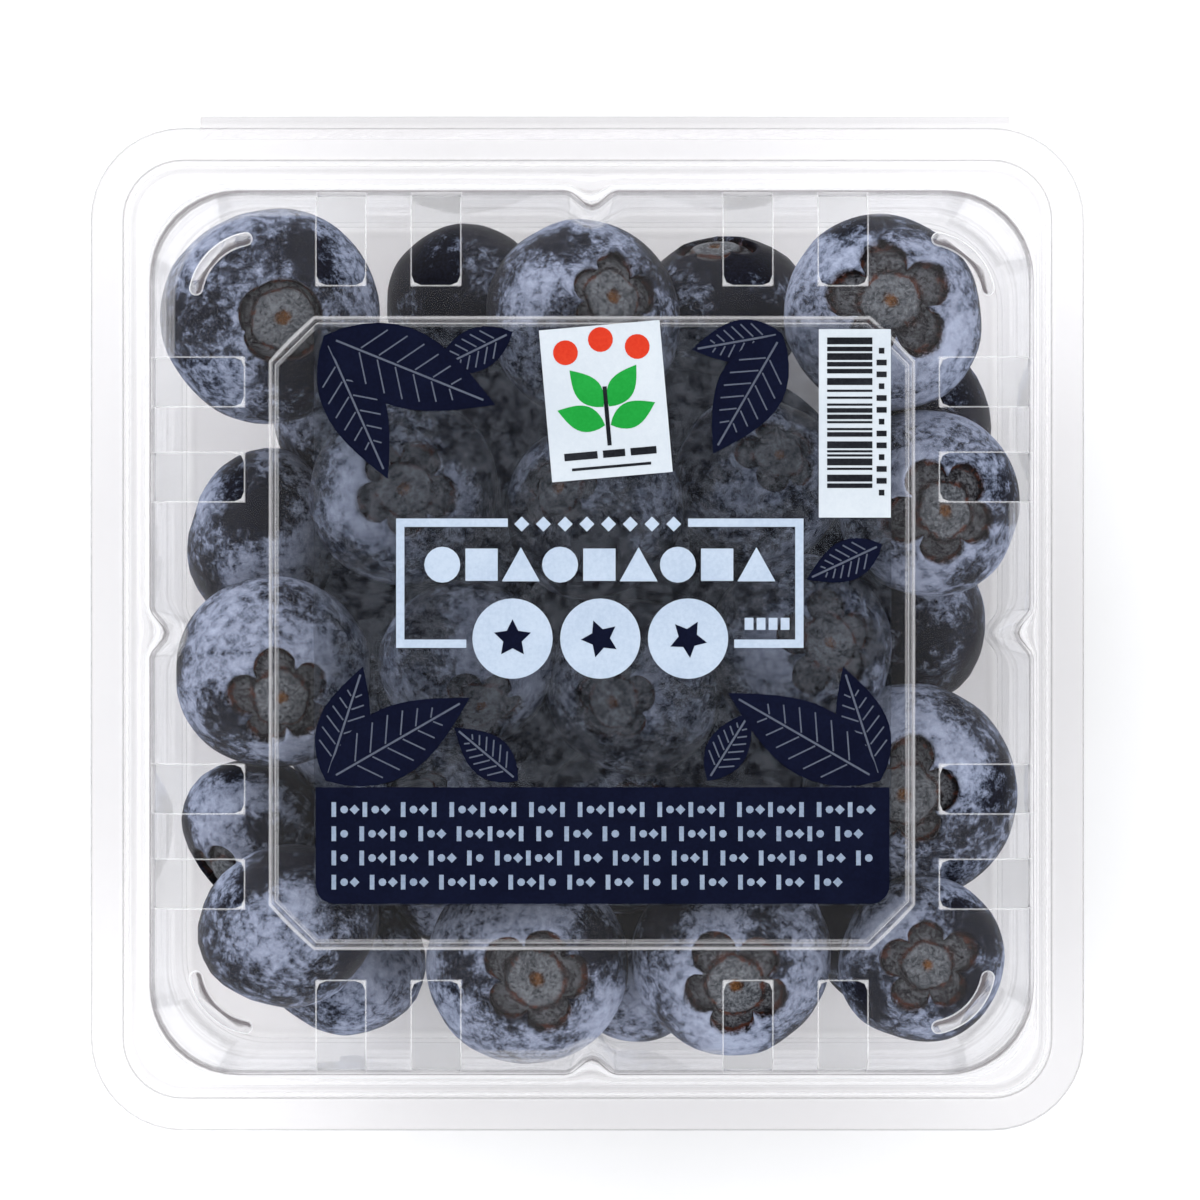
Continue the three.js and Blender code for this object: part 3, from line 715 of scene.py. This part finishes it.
HEAP_FLOOR, HEAP_CEILING, WALL_GAP, DRAW_FACTOR, DRAW_SPAN = 2.1, 35.4, 0.5, 16807, 2147483647
# A berry that touches the tub's floor or the lid is pressed flat there
PRESSED_GAP = 0.06
PRESSED_LOW, PRESSED_HIGH = SHEET + PANEL_RISE + PRESSED_GAP, LID_TOP - SHEET - PRESSED_GAP


def seeded_draw(seed):
    """A repeatable draw of numbers from 0 to 1."""
    state = seed
    while True:
        state = (state * DRAW_FACTOR) % DRAW_SPAN
        yield state / DRAW_SPAN


def room_at(z):
    """The half-width that the walls leave at a height."""
    if z > PARTING:
        share, narrowing = (z - PARTING) / (LID_TOP - PARTING), WALL_LEAN
    else:
        share, narrowing = 1 - z / PARTING, WALL_FOOT - TUB_FOOT
    return WALL_FOOT - SHEET - narrowing * share - WALL_GAP


class Berry:
    """A berry that settles: its hold is how hard its home draws it."""

    def __init__(self, hold, x, y, z, width, crown, bloom=0.5, star=None):
        self.place = [x, y, z]
        self.home = (x, y)
        self.width, self.crown = width, Vector(crown).normalized()
        self.hold, self.bloom, self.star = hold, bloom, star and Star(*star)


def settled_berries():
    """The shown berries and the row under them, pushed apart to lie side by side."""
    draw = seeded_draw(HEAP_SEED)
    berries = [Berry(SHOWN_HOLD, *row) for row in SHOWN_BERRIES]
    shown = list(berries)
    for row_y in ROW_PLACES:
        for row_x in ROW_PLACES:
            x = row_x + (next(draw) - 0.5) * 2 * ROW_JITTER
            y = row_y + (next(draw) - 0.5) * 2 * ROW_JITTER
            width = ROW_WIDTH + (next(draw) - 0.5) * 2 * ROW_SPREAD
            crown = (next(draw) * 2 - 1, next(draw) * 2 - 1, next(draw) * 2 - ROW_TILT)
            if not any(other.place[2] < ROW_HEIGHT + ROW_CLEAR and math.dist(other.home, (x, y)) < ROW_APART
                       for other in shown):
                berries.append(Berry(LOWER_HOLD, x, y, ROW_HEIGHT, width, crown))
    for _ in range(SETTLE_ROUNDS):
        for berry in berries:
            for axis in range(2):
                berry.place[axis] += (berry.home[axis] - berry.place[axis]) * berry.hold
            berry.place[2] -= SINK
        for i, first in enumerate(berries):
            for second in berries[:i]:
                push_apart(first, second)
        for berry in berries:
            keep_inside(berry)
    return berries


def push_apart(first, second):
    gap = [a - b for a, b in zip(first.place, second.place)]
    distance = math.sqrt(gap[0] * gap[0] + gap[1] * gap[1] + gap[2] * gap[2])
    wanted = (first.width + second.width) / 2 * PACKING
    if distance < wanted:
        push = (wanted - distance) / distance / 2
        for axis in range(3):
            first.place[axis] += gap[axis] * push
            second.place[axis] -= gap[axis] * push


def keep_inside(berry):
    radius = berry.width / 2
    room = room_at(berry.place[2]) - radius
    for axis in range(2):
        berry.place[axis] = min(max(berry.place[axis], -room), room)
    low, high = HEAP_FLOOR + radius * PACKING, HEAP_CEILING - radius * PACKING
    berry.place[2] = min(max(berry.place[2], low), high)


CORE_HALF, CORE_LOW, CORE_HIGH, CORE_SQUARENESS = 30, 8, 18, 0.6
# The core's low bloom darkens it: partly bare skin, partly painted shade in the deep gaps
CORE_SHADE_BLOOM, CORE_LUMPS, CORE_DETAIL = 0.1, (4, 0.5), 5
LOBES, LOBE_SEGMENTS, LOBE_ROUNDNESS = 5, 14, 0.55
# What is drawn for each berry: a star's tip and notch where none is given, lobe sizes and bloom
TIPS, NOTCHES, LOBE_SIZES, BLOOM_SPREAD, SEED_START = (0.44, 0.6), (0.31, 0.37), (0.86, 1.1), 0.04, 700
# Scale and height of the forms on a body, and of the bloom's patches
LUMPS, DIMPLES, WRINKLES, BLOOM_PATCHES = (1.1, 0.06), (3.2, 0.014), (11, 0.03), (1.4, 0.9)
HIGHEST_LUMP, CROWN_BLOOM, BODY_SHARE, NOISE_SPAN = 0.02, 0.12, 2.5, 90
# Crown shares between which the lobes wrinkle
LOBE_FOOT, LOBE_MIDDLE, LOBE_END = 0.5, 0.7, 1.05
DISC_SHARE, DISC_REACH, DISC_OVAL, DISC_WAVY, SHOULDER_REACH = 0.5, 0.28, 0.05, 0.04, 0.84
# Rows from the crown's middle: shares of the way to the star's outline, which is at 1
CROWN_SHARES = (0, 0.05, 0.1, 0.16, 0.26, 0.38, 0.48, 0.54, 0.6, 0.7, 0.8, 0.87, 0.93, 0.97, 1.0,
                1.05, 1.13, 1.3, 1.5, 1.75)
CROWN_RELIEF = ((0, -0.1), (0.1, -0.09), (0.16, -0.06), (0.48, -0.06), (0.56, -0.1), (0.72, -0.085),
                (0.85, -0.11), (0.92, -0.13), (0.97, -0.05), (1.0, 0.0), (1.05, 0.022), (1.13, 0.014),
                (1.35, 0))
BODY_ANGLES = (24, 14, 4, -7, -18, -30, -42, -54, -66, -78)


def smooth(value, low, high):
    share = min(max((value - low) / (high - low), 0), 1)
    return share * share * (3 - 2 * share)


def relief_at(share):
    """The crown's height over the round body at a share of the way to its outline."""
    for (low, low_rise), (high, high_rise) in zip(CROWN_RELIEF, CROWN_RELIEF[1:]):
        if share <= high:
            return low_rise + (high_rise - low_rise) * (share - low) / (high - low)
    return 0


def star_reach(angle, star, lobe_sizes):
    """How far the star reaches at an angle from its first lobe."""
    turn = angle / math.tau * LOBES
    lobe = round(turn)
    petal = abs(math.cos((turn - lobe) * math.pi)) ** LOBE_ROUNDNESS
    return star.notch + (star.tip * lobe_sizes[lobe % LOBES] - star.notch) * petal


def body_place(row, angle, star, lobe_sizes):
    """Distance from the axis, height and crown share at a row, on a body of radius 1."""
    if row >= len(CROWN_SHARES):
        steep = math.radians(BODY_ANGLES[row - len(CROWN_SHARES)])
        return math.cos(steep), math.sin(steep), BODY_SHARE
    share = CROWN_SHARES[row]
    edge = star_reach(angle, star, lobe_sizes)
    oval, wavy = math.sin(angle * 2 + star.turn), math.sin(angle * 5 + star.tip * 40)
    disc = DISC_REACH * (1 + DISC_OVAL * oval + DISC_WAVY * wavy)
    if share < DISC_SHARE:
        out = disc * share / DISC_SHARE
    elif share < 1:
        out = disc + (edge - disc) * (share - DISC_SHARE) / (1 - DISC_SHARE)
    else:
        out = edge + (SHOULDER_REACH - edge) * (share - 1) / (CROWN_SHARES[-1] - 1)
    return out, math.sqrt(1 - out * out) + relief_at(share), share


def waves(place, form, seed):
    """Noise at a place, with a form's scale and height."""
    scale, height = form
    return noise.noise(place * scale + seed) * height


def berry_mesh(berry, seed):
    """One berry: a lumpy round body with a lobed crown sunk in its top."""
    rng = random.Random(seed)
    star = berry.star or Star(rng.uniform(*TIPS), rng.uniform(*NOTCHES), rng.random() * (360 / LOBES))
    lobe_sizes = [rng.uniform(*LOBE_SIZES) for _ in range(LOBES)]
    bloom_level = berry.bloom + rng.uniform(-BLOOM_SPREAD, BLOOM_SPREAD)
    shape_seed, bloom_seed = (Vector([rng.uniform(0, NOISE_SPAN) for _ in range(3)]) for _ in range(2))
    rows = len(CROWN_SHARES) + len(BODY_ANGLES)
    bm = bmesh.new()
    crown = bm.verts.layers.float.new("crown")
    bloom = bm.verts.layers.float.new("bloom")
    line = [bm.verts.new((row, 0, 0)) for row in range(rows)]
    line.append(bm.verts.new((0, 0, -1)))
    edges = [bm.edges.new(pair) for pair in zip(line, line[1:])]
    bmesh.ops.spin(bm, geom=line + edges, cent=(0, 0, 0), axis=(0, 0, 1), angle=math.tau,
                   steps=LOBES * LOBE_SEGMENTS, use_merge=True)
    bmesh.ops.remove_doubles(bm, verts=bm.verts, dist=1e-4)
    bmesh.ops.recalc_face_normals(bm, faces=bm.faces)
    radius = berry.width / 2
    for vert in bm.verts:
        angle = math.atan2(vert.co.y, vert.co.x)
        out, up, share = 0, -1, BODY_SHARE
        if vert.co.z > -0.5:
            out, up, share = body_place(round(vert.co.xy.length), angle, star, lobe_sizes)
        place = Vector((math.cos(angle) * out, math.sin(angle) * out, up))
        lumps = waves(place, LUMPS, shape_seed) + waves(place, DIMPLES, shape_seed)
        on_lobes = smooth(share, LOBE_END, LOBE_MIDDLE) * smooth(share, LOBE_FOOT, LOBE_MIDDLE)
        wrinkles = waves(place, WRINKLES, shape_seed) * on_lobes
        vert[crown] = share
        near_crown = 1 - smooth(share, 1.0, 2.0)
        vert[bloom] = bloom_level + waves(place, BLOOM_PATCHES, bloom_seed) + near_crown * CROWN_BLOOM
        vert.co = place * (1 + min(lumps, HIGHEST_LUMP) + wrinkles) * radius
        vert.co.z *= FLATNESS
    facing = Vector((0, 0, 1)).rotation_difference(berry.crown).to_matrix().to_4x4()
    turn = Matrix.Rotation(math.radians(star.turn), 4, "Z")
    place = Matrix.Translation(berry.place) @ facing @ turn
    bmesh.ops.transform(bm, matrix=place, verts=bm.verts)
    for vert in bm.verts:
        vert.co.z = min(max(vert.co.z, PRESSED_LOW), PRESSED_HIGH)
    return bm


def add_core(heap):
    """A dark lumpy filling that closes the deep gaps between the berries: skin with little bloom, partly bare
    berry skin and partly painted shade in the gaps.
    """
    crown, bloom = (heap.verts.layers.float.new(name) for name in ("crown", "bloom"))
    made = bmesh.ops.create_icosphere(heap, subdivisions=CORE_DETAIL, radius=1)["verts"]
    for vert in made:
        vert[crown], vert[bloom] = BODY_SHARE, CORE_SHADE_BLOOM
        x, y, z = (math.copysign(abs(value) ** CORE_SQUARENESS, value) for value in vert.co)
        lumps = 1 + waves(Vector((x, y, z)), CORE_LUMPS, Vector())
        height = (CORE_LOW + CORE_HIGH) / 2 + z * lumps * (CORE_HIGH - CORE_LOW) / 2
        vert.co = (x * CORE_HALF, y * CORE_HALF, height)


def make_berries():
    heap = bmesh.new()
    add_core(heap)
    for index, berry in enumerate(settled_berries()):
        one = berry_mesh(berry, SEED_START + index)
        mesh = bpy.data.meshes.new("one_berry")
        one.to_mesh(mesh)
        one.free()
        heap.from_mesh(mesh)
        bpy.data.meshes.remove(mesh)
    finished_piece("blueberries", heap, BERRY_SKIN, "tub", replaces=["berries"])


# The label, its print and the stickers

def film_points(inset, back):
    """The film's outline, drawn in by an inset, up to a back edge."""
    left, right, front = FILM_LEFT + inset, FILM_RIGHT - inset, FILM_FRONT + inset
    corner_y = front + FILM_CORNER
    outline = [(left, back)]
    for start, corner_x in ((180, left + FILM_CORNER), (270, right - FILM_CORNER)):
        outline += arc_points(FILM_CORNER, start, start + 90, FILM_CORNER_STEPS, corner_x, corner_y)
    return outline + [(right, back)]


def make_film():
    flat_piece("label_film_sheet", film_points(0, FILM_BACK), FILM_HEIGHT, FILM_THICK,
               FILM, "label_film")


def leaf_points(length, width):
    """A leaf's outline from its foot at the origin along X, with a drawn-out tip."""
    upper = []
    for step in range(LEAF_STEPS + 1):
        share = step / LEAF_STEPS
        upper.append((share * length, width / 2 * math.sin(math.pi * share ** LEAF_BELLY)))
    return [(x, -y) for x, y in upper] + [(x, y) for x, y in reversed(upper[1:-1])]


def stroke_points(start, end, width):
    """A straight stroke between two points."""
    line = Vector(end) - Vector(start)
    length = line.length
    return turned(box_points(length, width, length / 2), math.degrees(math.atan2(line.y, line.x)), *start)


def printed(name, layers, base, material):
    """One piece from flat printed shapes, each with the level of ink that it lies at."""
    bm = bmesh.new()
    for level, shapes in layers:
        for points in shapes:
            add_plate(bm, points, base + INK_LIFT + level * (INK_THICK + INK_LIFT), INK_THICK)
    finished_piece(name, bm, material, "lid", smooth=False)


# A leaf's fullest place, and its veins' spacing, reach and slant
LEAF_BELLY, LEAF_STEPS = 0.85, 12
VEIN_FIRST, VEIN_LAST, VEIN_SPACES, VEIN_REACH, VEIN_SLANT, VEIN_FOOT = 2, 7, 9.5, 0.78, 0.62, 0.25
VEIN_AHEAD, VEIN_LINE, MIDRIB_SHARE, MIDRIB_LINE = 0.12, 0.16, 0.86, 0.22
SPRAYS = (
    # foot x, foot y, and the direction, length and width of each leaf
    (-29, 32.2, ((-66, 17, 6.6), (-22, 20, 8.6))),
    (-8.6, 32.6, ((206, 10, 4.6),)),
    (20.6, 32.4, ((190, 10, 4.6), (240, 15, 7.2))),
    (31.4, 9.6, ((205, 9, 4.4),)),
    (-28.8, -16, ((72, 13, 5.6), (30, 18, 7.6))),
    (-8, -16, ((140, 9, 4.6),)),
    (31.2, -16, ((108, 13, 5.6), (150, 19, 7.8))),
    (12.5, -16, ((58, 9, 4.4),)),
)
FRAME_LEFT, FRAME_RIGHT, FRAME_BACK, FRAME_FRONT, FRAME_LINE = -21.2, 22.9, 12.4, -1.6, 0.9
FRAME_BACK_GAP, FRAME_FRONT_GAP = (-9.1, 10.4), (-13.6, 15.4)
# Rows of plain shapes: how many, the first one's x and the pitch
LOZENGE_ROW, FORM_ROW, BLOCK_ROW = (8, -7.6, 2.35), (9, -16.2, 4.25), (4, 17.0, 1.3)
LOZENGE_SIZE, LOZENGE_DROP, BLOCK_WIDTH, BLOCK_HEIGHT, BLOCK_Y = 1.15, 0.6, 0.95, 1.3, 1.0
FORM_Y, FORM_ROUND, FORM_SQUARE, FORM_HALF, FORM_LOW, FORM_HIGH = 7.4, 1.95, 3.5, 2.05, 5.6, 9.3
STAR_REACH, STAR_TURN, STAR_WAIST = 2.1, 21, 0.5
BAND_TOP, BAND_INSET, ROUND_STEPS, BIG_ROUND_STEPS, SMALL_ROUND_STEPS = -16.7, 0.2, 20, 36, 10
BIG_ROW_X, BIG_ROW_Y, BIG_ROUND = (-8.6, 0.9, 10.4), -0.6, 4.35
SMALL_ROWS, SMALL_LINE, SMALL_HEIGHT, SMALL_PITCH = 4, 2.62, 1.6, 1.12
SMALL_MARGIN, SMALL_BAR, SMALL_ROUND, SMALL_LOZENGE, SMALL_SPACE = 1.6, 0.5, 0.42, 1.8, 0.7
SMALL_SEED, SMALL_GROUPS, SMALL_ENDS = 5, (2, 7), (0, 0.6, 0, 3)


def leaf_print():
    """Navy leaves with pale ribs; in a spray the later leaves lie over the earlier ones."""
    fills, lines = [], []
    for x, y, leaves in SPRAYS:
        for order, (direction, length, width) in enumerate(leaves):
            fills.append((1 + 2 * order, [turned(leaf_points(length, width), direction, x, y)]))
            ribs = [box_points(length * MIDRIB_SHARE, MIDRIB_LINE, length / 2)]
            for step in range(VEIN_FIRST, VEIN_LAST + 1):
                share = step / VEIN_SPACES
                half_leaf = width / 2 * math.sin(math.pi * (share + VEIN_AHEAD) ** LEAF_BELLY)
                along, reach = length * share, half_leaf * VEIN_REACH
                for side in (-1, 1):
                    tip = (along + reach * VEIN_SLANT, reach * side)
                    ribs.append(stroke_points((along, VEIN_FOOT * side), tip, VEIN_LINE))
            lines.append((2 + 2 * order, [turned(rib, direction, x, y) for rib in ribs]))
    return fills, lines


def frame_print():
    """A white frame with gaps."""
    line = FRAME_LINE
    middle = (FRAME_BACK + FRAME_FRONT) / 2
    shapes = [box_points(line, FRAME_BACK - FRAME_FRONT, x, middle)
              for x in (FRAME_LEFT + line / 2, FRAME_RIGHT - line / 2)]
    for gap, y in ((FRAME_BACK_GAP, FRAME_BACK - line / 2), (FRAME_FRONT_GAP, FRAME_FRONT + line / 2)):
        for left, right in ((FRAME_LEFT + line, gap[0]), (gap[1], FRAME_RIGHT - line)):
            shapes.append(box_points(right - left, line, (left + right) / 2, y))
    return shapes


def ornament_print():
    """Rows of plain shapes: small lozenges, simple forms, three large rounds and blocks."""
    lozenge = box_points(LOZENGE_SIZE, LOZENGE_SIZE)
    shapes = [turned(lozenge, 45, x, FRAME_BACK - LOZENGE_DROP) for x in evenly(*LOZENGE_ROW)]
    for step, x in enumerate(evenly(*FORM_ROW)):
        shapes.append((
            round_points(FORM_ROUND, x, FORM_Y, ROUND_STEPS),
            box_points(FORM_SQUARE, FORM_SQUARE, x, FORM_Y),
            [(x - FORM_HALF, FORM_LOW), (x + FORM_HALF, FORM_LOW), (x, FORM_HIGH)],
        )[step % 3])
    shapes += [round_points(BIG_ROUND, x, BIG_ROW_Y, BIG_ROUND_STEPS) for x in BIG_ROW_X]
    return shapes + [box_points(BLOCK_WIDTH, BLOCK_HEIGHT, x, BLOCK_Y) for x in evenly(*BLOCK_ROW)]


def star_points(radius, x, y, turn):
    points = []
    for step in range(10):
        reach = radius * STAR_WAIST if step % 2 else radius
        angle = math.radians(turn + step * 36)
        points.append((x + reach * math.cos(angle), y + reach * math.sin(angle)))
    return points


def small_print():
    """Rows of small bars, rounds and lozenges in groups."""
    rng = random.Random(SMALL_SEED)
    shapes = []
    for row in range(SMALL_ROWS):
        y = BAND_TOP - SMALL_MARGIN - SMALL_HEIGHT / 2 - row * SMALL_LINE
        x, end = FILM_LEFT + SMALL_MARGIN, FILM_RIGHT - SMALL_MARGIN - SMALL_ENDS[row]
        while x < end - 2 * SMALL_PITCH:
            for step in range(rng.randint(*SMALL_GROUPS)):
                if x > end - SMALL_PITCH:
                    break
                middle = x + SMALL_PITCH / 2
                if step % 3 == 1:
                    shapes.append(round_points(SMALL_ROUND, middle, y, SMALL_ROUND_STEPS))
                elif step % 3 == 2:
                    lozenge = box_points(SMALL_ROUND * SMALL_LOZENGE, SMALL_ROUND * SMALL_LOZENGE)
                    shapes.append(turned(lozenge, 45, middle, y))
                else:
                    shapes.append(box_points(SMALL_BAR, SMALL_HEIGHT, middle, y))
                x += SMALL_PITCH
            x += SMALL_PITCH * SMALL_SPACE
    return shapes


def make_print():
    leaves, ribs = leaf_print()
    band = film_points(BAND_INSET, BAND_TOP)
    stars = [star_points(STAR_REACH, x, BIG_ROW_Y, 90 + step * STAR_TURN) for step, x in enumerate(BIG_ROW_X)]
    printed("navy_print", [(0, [band])] + leaves + [(2, stars)], FILM_TOP, NAVY)
    printed("leaf_ribs_print", ribs, FILM_TOP, PALE_LINE)
    printed("white_print", [(1, frame_print() + ornament_print())], FILM_TOP, WHITE)
    printed("small_print", [(1, small_print())], FILM_TOP, SMALL_PRINT)


# On the square sticker, from its middle: each leaf's direction and foot, and bars as x, y, width, height
SPRIG_LEAF = (5.4, 2.8)
SPRIG = ((22, (0.3, -2.6)), (158, (-0.3, -2.6)), (52, (0.3, -0.6)), (128, (-0.3, -0.6)))
STEM_WIDTH, STEM_LENGTH, STEM_Y, STEM_LEVEL = 0.45, 6.4, -1.6, 0.4
RED_ROUND, RED_PLACES = 1.35, ((0, 6.7), (-3.9, 5.6), (3.9, 5.6))
SPRIG_BARS = ((-3.2, -5.7, 3.6, 0.8), (0.4, -5.7, 2.4, 0.8), (3.6, -5.7, 2.8, 0.8), (0, -7.1, 8.6, 0.3))
# On the bar sticker: bars of drawn heights and gaps, and a row of blocks beside them
BAR_SEED, BAR_TOP_MARGIN, BAR_LOW_MARGIN, BAR_LEAST, BAR_LENGTH, BAR_SHIFT = 12, 0.9, 2.2, 0.7, 4.9, 0.55
BAR_HEIGHTS, BAR_GAPS = (0.25, 0.25, 0.5, 0.75), (0.2, 0.25, 0.5)
DIGIT_ROW, DIGIT_WIDE, DIGIT_NARROW, DIGIT_HEIGHT, DIGIT_SHIFT = (13, 0.5, 1.28), 1.1, 0.6, 0.62, 2.9


def make_square_sticker():
    """A tilted white sticker with a plain sprig of leaves and three red rounds."""
    place = (SQUARE_TURN, SQUARE_X, SQUARE_Y)
    paper = turned(box_points(SQUARE_WIDTH, SQUARE_HEIGHT), *place)
    flat_piece("square_sticker_paper", paper, STICKER_HEIGHT, STICKER_THICK,
               PAPER, "square_sticker")
    leaf = leaf_points(*SPRIG_LEAF)
    sprig = [turned(turned(leaf, direction, *foot), *place) for direction, foot in SPRIG]
    stem = [turned(box_points(STEM_WIDTH, STEM_LENGTH, 0, STEM_Y), *place)]
    rounds = [turned(round_points(RED_ROUND, x, y, ROUND_STEPS), *place) for x, y in RED_PLACES]
    bars = [turned(box_points(width, height, x, y), *place) for x, y, width, height in SPRIG_BARS]
    printed("sticker_leaves_print", [(0, sprig)], STICKER_TOP, GREEN)
    printed("sticker_stem_print", [(STEM_LEVEL, stem)], STICKER_TOP, BLACK)
    printed("sticker_rounds_print", [(0, rounds)], STICKER_TOP, RED)
    printed("sticker_bars_print", [(0, bars)], STICKER_TOP, BLACK)


def make_bar_sticker():
    """A tall white sticker with uneven black bars and small blocks beside them."""
    rng = random.Random(BAR_SEED)
    paper = box_points(BAR_WIDTH, BAR_HEIGHT, BAR_X, BAR_Y)
    flat_piece("bar_sticker_paper", paper, STICKER_HEIGHT, STICKER_THICK,
               PAPER, "bar_sticker")
    shapes = []
    y, low = BAR_Y + BAR_HEIGHT / 2 - BAR_TOP_MARGIN, BAR_Y - BAR_HEIGHT / 2 + BAR_LOW_MARGIN
    while y > low + BAR_LEAST:
        height = rng.choice(BAR_HEIGHTS)
        shapes.append(box_points(BAR_LENGTH, height, BAR_X - BAR_SHIFT, y - height / 2))
        y -= height + rng.choice(BAR_GAPS)
    for step, up in enumerate(evenly(*DIGIT_ROW)):
        width = DIGIT_WIDE if step % 3 else DIGIT_NARROW
        shapes.append(box_points(width, DIGIT_HEIGHT, BAR_X + DIGIT_SHIFT, low + up))
    printed("bars_print", [(0, shapes)], STICKER_TOP, BLACK)


# The stage: floor, lights and camera

def make_stage():
    bm = bmesh.new()
    bmesh.ops.create_grid(bm, x_segments=1, y_segments=1, size=FLOOR_HALF)
    bmesh.ops.translate(bm, vec=(0, 0, -FLOOR_GAP * MM), verts=bm.verts)
    new_object("floor", bm, floor_material())


def make_lights():
    """A pale studio all round, dimmer straight above, with two soft bright areas."""
    world = bpy.data.worlds.new("studio")
    bpy.context.scene.world = world
    world.use_nodes = True
    tree = world.node_tree
    tree.nodes.clear()
    toward = Wire(tree, None).node("ShaderNodeTexCoord", {}, {}, 0)

    def facing(direction):
        """How far a direction agrees with the given one."""
        aim = tuple(Vector(direction).normalized())
        return toward.node("ShaderNodeVectorMath", {"operation": "DOT_PRODUCT"}, {0: toward, 1: aim}, 1)

    brightness = STUDIO_LIGHT - facing((0, 0, 1)).step(*ZENITH_CONE) * ZENITH_DIMMING
    for direction, cone, strength in SOFT_AREAS:
        brightness = brightness + facing(direction).step(*cone) * strength
    backdrop = toward.node("ShaderNodeBackground", {}, {
        "Color": (0.985, 0.99, 1.0, 1), "Strength": brightness,
    })
    surface(backdrop, "ShaderNodeOutputWorld")
    world.cycles.sampling_method = "NONE"


def make_camera():
    camera = bpy.data.cameras.new("camera")
    camera.sensor_width = SENSOR_WIDTH
    distance = CAMERA_HEIGHT - MEASURED_HEIGHT
    camera.lens = SENSOR_WIDTH * distance / PHOTO_WIDTH
    camera.clip_start, camera.clip_end = 0.1, 20
    eye = bpy.data.objects.new("camera", camera)
    eye.location = PACK_PLACE @ Vector((PHOTO_MIDDLE_X, PHOTO_MIDDLE_Y, CAMERA_HEIGHT))
    scene = bpy.context.scene
    scene.collection.objects.link(eye)
    scene.camera = eye
    scene.view_settings.view_transform = "Standard"
    scene.cycles.transparent_max_bounces = CLEAR_BOUNCES


make_stage()
make_lights()
make_camera()
make_berries()
make_tub()
make_lid()
make_hinge_half("tub", -1)
make_hinge_half("lid", 1)
make_corner_ribs()
make_film()
make_print()
make_square_sticker()
make_bar_sticker()
